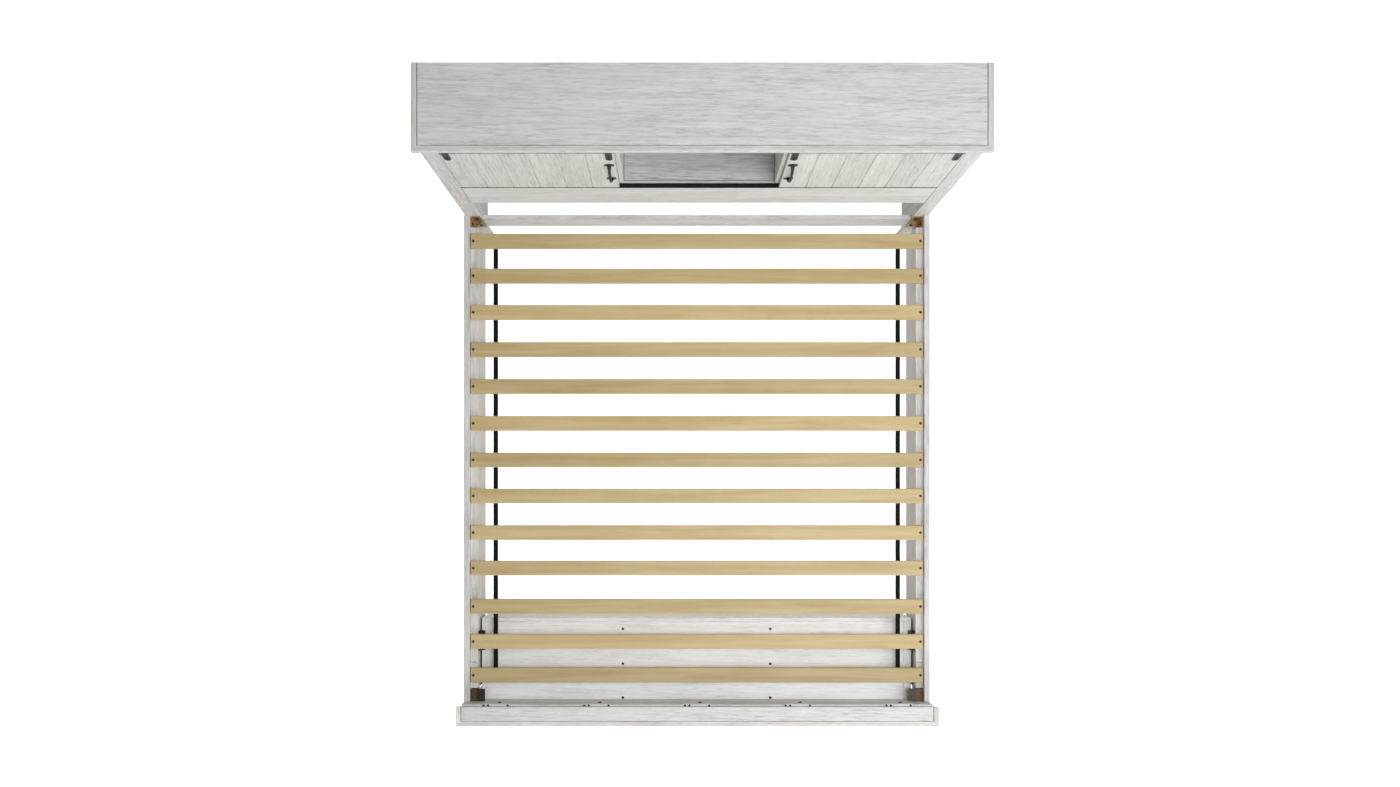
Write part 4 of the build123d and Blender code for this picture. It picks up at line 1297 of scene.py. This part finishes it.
@piece_operator
class BED_OT_corner_brackets(bpy.types.Operator):
    """Make the angles at the head and the foot, and the ties to the drawer case"""
    bl_idname = "bed.corner_brackets"
    bl_label = "Corner brackets"

    def execute(self, context):
        f, thick, bevel = finish(), 3 * MM, 0.6 * MM
        bronze = metal("yellow_chromate", f.bronze, 0.36, 0.05, 0.65)
        dark = metal("oiled_steel", f.steel, 0.42, 0.1, 0.75, (0.16, 0.085, 0.045))
        # the foot's angles: a darker brown steel than the head's yellow chromate, with
        # rust-coloured specks
        brown = metal("dark_brown_steel", (0.17, 0.085, 0.045), 0.45, 0.15, 0.55, (0.30, 0.14, 0.06))
        rail, head_leg = span("rail_right")[0][X], 42 * MM
        head, foot, covers, ties = [], [], [], []
        lo, hi = span("head_brackets")
        flo, fhi = span("foot_brackets")
        leg = rail - span("footboard_inner_board")[1][X] - 2 * MM
        inner, edge = rail - 64 * MM, rail - 30 * MM
        deep, middle = fhi[Y] - flo[Y], (flo[Y] + fhi[Y]) / 2
        for number, sign in ((130, -1.0), (140, 1.0)):
            head.append(bent_angle((sign * rail, hi[Y], 0), ((-sign, 0, 0), (0, -1, 0)),
                                   (head_leg, head_leg), thick, lo[Z], hi[Z], number))
            web = np.array([[0.5, 0.5], [40, 0.5], [0.5, 40]]) * (-sign * MM, -MM)
            web = rounded_outline(web if sign > 0 else web[::-1], 2.5 * MM, 4)
            head.append(plate(web, (sign * rail, hi[Y], (lo[Z] + hi[Z]) / 2), *LEVEL, thick,
                              number, 0.5 * MM))
            foot.append(bent_angle((sign * rail, flo[Y], 0), ((-sign, 0, 0), (0, 1, 0)),
                                   (leg, deep), thick, flo[Z], fhi[Z] - 2.5 * MM, number + 2))
            # cover plate over the drawer case's side, and below it a gusset in the angle's corner
            cover = rounded_outline(rectangle(edge - inner, deep), 3 * MM, 5)
            covers.append(plate(cover, (sign * (inner + edge) / 2, middle, fhi[Z] - thick), *LEVEL,
                                thick, number + 3, bevel))
            gusset = rounded_outline(rectangle(leg - 1 * MM, deep - 4 * MM), 5 * MM, 5)
            foot.append(plate(gusset, (sign * (rail - leg / 2), middle, fhi[Z] - 9 * MM), *LEVEL,
                              thick, number + 4, bevel))
            for share in (0.3, 0.7):
                foot += hex_bolt((sign * (rail - 15 * MM), flo[Y] + share * deep, fhi[Z] - 6 * MM),
                                 AXES[Z], 11 * MM, 4 * MM, number + 5)
        for number, (lo, hi) in enumerate(shells("case_brackets")):
            sign = np.sign(lo[X] + hi[X])
            far = hi[X] if sign > 0 else lo[X]
            mid, size = (lo + hi) / 2, hi - lo
            low = rounded_outline(rectangle(size[X], size[Y]), 4 * MM, 5)
            ties.append(plate(low, (mid[X], mid[Y], lo[Z]), *LEVEL, thick, 150 + number, bevel))
            up = rounded_outline(rectangle(size[Y], size[Z]), 4 * MM, 5)
            ties.append(plate(up, (far - (thick if sign > 0 else 0), mid[Y], mid[Z]), AXES[Y],
                              AXES[Z], thick, 152 + number, bevel))
            for share in (0.25, 0.75):
                ties += hex_bolt((far - sign * thick, lo[Y] + share * size[Y], hi[Z] - 14 * MM),
                                 (-sign, 0, 0), 8 * MM, 3 * MM, 154)
        build("head_corner_angles", head, bronze, replaces=["head_brackets"])
        build("foot_corner_angles", foot, brown, replaces=["foot_brackets"])
        build("foot_cover_plates", covers, dark, replaces=["foot_brackets"])
        build("case_tie_angles", ties, dark, replaces=["case_brackets"])
        return {"FINISHED"}


@piece_operator
class BED_OT_bracket_bolts(bpy.types.Operator):
    """Make the hexagon bolts that hold the corner brackets"""
    bl_idname = "bed.bracket_bolts"
    bl_label = "Bracket bolts"

    def execute(self, context):
        rail, thick, parts = span("rail_right")[0][X], 3 * MM, []
        face, foot = span("headboard_stiles")[0][Y], span("footboard_posts")[1][Y]
        for number, (middle, lo, hi) in enumerate(middles("bracket_bolts")):
            size = hi - lo
            sign = np.sign(middle[X])
            if size[X] > size[Y]:
                place, out = (sign * (rail - thick), middle[Y], middle[Z]), (-sign, 0, 0)
            elif middle[Y] > 0:
                place, out = (middle[X], face - thick, middle[Z]), (0, -1, 0)
            else:
                place, out = (middle[X], foot + thick, middle[Z]), (0, 1, 0)
            parts += hex_bolt(place, out, 10.5 * MM, 4 * MM, number)
        build("bracket_bolt_heads", parts, black_screws(),
              replaces=["bracket_bolts"])
        return {"FINISHED"}


@piece_operator
class BED_OT_footboard(bpy.types.Operator):
    """Make the footboard's posts, rails and inner board"""
    bl_idname = "bed.footboard"
    bl_label = "Footboard"

    def execute(self, context):
        # the rails' ends take 1.2 mm of painted shade where they butt against the posts
        for node, along, number, joint in (("footboard_posts", Z, 160, 0),
                                           ("footboard_inner_board", X, 164, 0),
                                           ("footboard_top_rail", X, 165, 1.2 * MM),
                                           ("footboard_bottom_rail", X, 166, 1.2 * MM)):
            wooden(node, along, number, sizes().arris, joint)
        return {"FINISHED"}


@piece_operator
class BED_OT_footboard_cap(bpy.types.Operator):
    """Make the footboard's cap with its moulded edge"""
    bl_idname = "bed.footboard_cap"
    bl_label = "Footboard cap"

    def execute(self, context):
        # painted shade in the quirks, faint at the front and deepest on the left, and painted
        # shadow on the left arris
        moulded_piece("footboard_cap", 170, (0.94, 0.98, 0.96, 0.9))
        return {"FINISHED"}


@piece_operator
class BED_OT_cleats(bpy.types.Operator):
    """Make the cleats hooked over the footboard's inner board, and their screws"""
    bl_idname = "bed.cleats"
    bl_label = "Cleats"

    def execute(self, context):
        lo, hi = span("cap_cleats")
        inner = span("footboard_inner_board")[1][Y]
        places = sorted({round((a[X] + b[X]) / 2, 4) for a, b in shells("cap_cleats")})
        drop, half, thick = 42 * MM, 60 * MM, 3 * MM
        cap, parts = hi[Z] - thick, []
        for number, x in enumerate(places):
            flange = rounded_outline(rectangle(2 * half, hi[Y] - lo[Y]), 1.5 * MM, 3)
            parts.append(plate(flange, (x, (lo[Y] + hi[Y]) / 2, cap), *LEVEL, thick, 180 + number,
                               0.7 * MM))
            lobe = rounded_outline([[-half, 1 * MM], [-half, -2 * MM], [-0.42 * half, -drop],
                                    [0.42 * half, -drop], [half, -2 * MM], [half, 1 * MM]],
                                   [0.6 * MM, 1.2 * MM, 8 * MM, 8 * MM, 1.2 * MM, 0.6 * MM], 6)
            parts.append(plate(lobe * [-1, 1], (x, inner, cap), (-1, 0, 0), (0, 0, 1), thick,
                               190 + number, 0.8 * MM))
        build("cap_cleat_plates", parts, moulded("cleat_plastic", finish().cleat),
              replaces=["cap_cleats"])
        heads, sunk = [], 1.6 * MM
        for number, (middle, low, high) in enumerate(middles("cleat_screws")):
            if high[Z] - low[Z] > high[Y] - low[Y]:
                heads.append(cross_screw((middle[X], middle[Y], high[Z] - sunk), AXES[Z],
                                         4.8 * MM, 1.6 * MM, number))
            else:
                heads.append(cross_screw((middle[X], high[Y] - sunk, middle[Z]), AXES[Y],
                                         7.5 * MM, 4.2 * MM, number))
        build("cleat_screw_heads", heads, black_screws(), replaces=["cleat_screws"])
        return {"FINISHED"}


@piece_operator
class BED_OT_drawer_case(bpy.types.Operator):
    """Make the drawer case in the foot of the bed"""
    bl_idname = "bed.drawer_case"
    bl_label = "Drawer case"

    def execute(self, context):
        # the case takes a much lighter, bluer copy of the limed wood with a fainter figure: painted
        # light under the slats' shade and against their warm bounce
        lit_case_wood = limed_wood("limed_case_lit", None, (1.32, 1.35, 1.40), 0.7)
        for node, along, number in (("case_top_panel", X, 200), ("case_back_panel", X, 201),
                                    ("case_sides", Y, 202)):
            wooden(node, along, number, sizes().arris, material=lit_case_wood)
        refinish("case_partitions", limed_wood("limed_partition", Y))
        refinish("case_runners", zinc())
        return {"FINISHED"}


@piece_operator
class BED_OT_drawers(bpy.types.Operator):
    """Make the drawers: fronts, boxes and slides"""
    bl_idname = "bed.drawers"
    bl_label = "Drawers"

    def execute(self, context):
        f = finish()
        inside, soft = birch("drawer_birch", f.box_light, f.box_dark), 1.2 * MM
        for number, name in zip((210, 230, 250), DRAWERS):
            front, node, slides = (f"drawer_{name}_{part}" for part in ("front", "box", "slides"))
            body = body_of(front)
            wooden(front, X, number, 2 * MM, body=body)
            # the grain runs along the longer side of each board of the box
            parts = [board((lo, hi), X if hi[X] - lo[X] > hi[Y] - lo[Y] else Y, number + 2 + i,
                           soft) for i, (lo, hi) in enumerate(shells(node))]
            build(f"{node}_boards", parts, inside, body, [node])
            build(f"{slides}_steel", boards(slides, Y, number + 10, soft), zinc(),
                  body, [slides])
        return {"FINISHED"}


@piece_operator
class BED_OT_glides(bpy.types.Operator):
    """Make the nylon glides under the posts, sides and partitions"""
    bl_idname = "bed.glides"
    bl_label = "Glides"

    def execute(self, context):
        parts = []
        for number, (lo, hi) in enumerate(shells("glides")):
            r, h = (hi[X] - lo[X]) / 2, hi[Z] - lo[Z]
            profile = [(0.03 * r, 0), (0.80 * r, 0), (0.93 * r, 0.10 * h), (r, 0.34 * h),
                       (r, 0.9 * h), (0.97 * r, h), (0.03 * r, h)]
            parts.append(turned(profile, ((lo[X] + hi[X]) / 2, (lo[Y] + hi[Y]) / 2, lo[Z]),
                                AXES[Z], 28, number=number))
        build("nylon_glides", parts, moulded("glide_nylon_mould", (0.16, 0.15, 0.14), 0.5),
              replaces=["glides"])
        return {"FINISHED"}


class BED_PT_pieces(bpy.types.Panel):
    """The bed's pieces and their settings"""
    bl_label = "Storage bed"
    bl_idname = "BED_PT_pieces"
    bl_space_type = "VIEW_3D"
    bl_region_type = "UI"
    bl_category = "Bed"

    def draw(self, context):
        for group in (context.scene.bed_stage, context.scene.bed_sizes, context.scene.bed_finish):
            box = self.layout.box()
            for name in group.bl_rna.properties.keys():
                if name not in ("rna_type", "name"):
                    box.prop(group, name)
        column = self.layout.column()
        for cls in PIECES:
            column.operator(cls.bl_idname, text=cls.bl_label)


GROUPS = (("bed_finish", BedFinish), ("bed_sizes", BedSizes), ("bed_stage", BedStage))


def register():
    for attribute, group in GROUPS:
        bpy.utils.register_class(group)
        setattr(bpy.types.Scene, attribute, bpy.props.PointerProperty(type=group))
    for cls in PIECES + [BED_PT_pieces]:
        bpy.utils.register_class(cls)


def unregister():
    for cls in [BED_PT_pieces] + PIECES[::-1]:
        bpy.utils.unregister_class(cls)
    for attribute, group in GROUPS[::-1]:
        delattr(bpy.types.Scene, attribute)
        bpy.utils.unregister_class(group)


def main():
    register()
    for cls in PIECES:
        getattr(bpy.ops.bed, cls.bl_idname.split(".")[1])()
    bpy.context.view_layer.update()


if __name__ == "__main__":
    main()
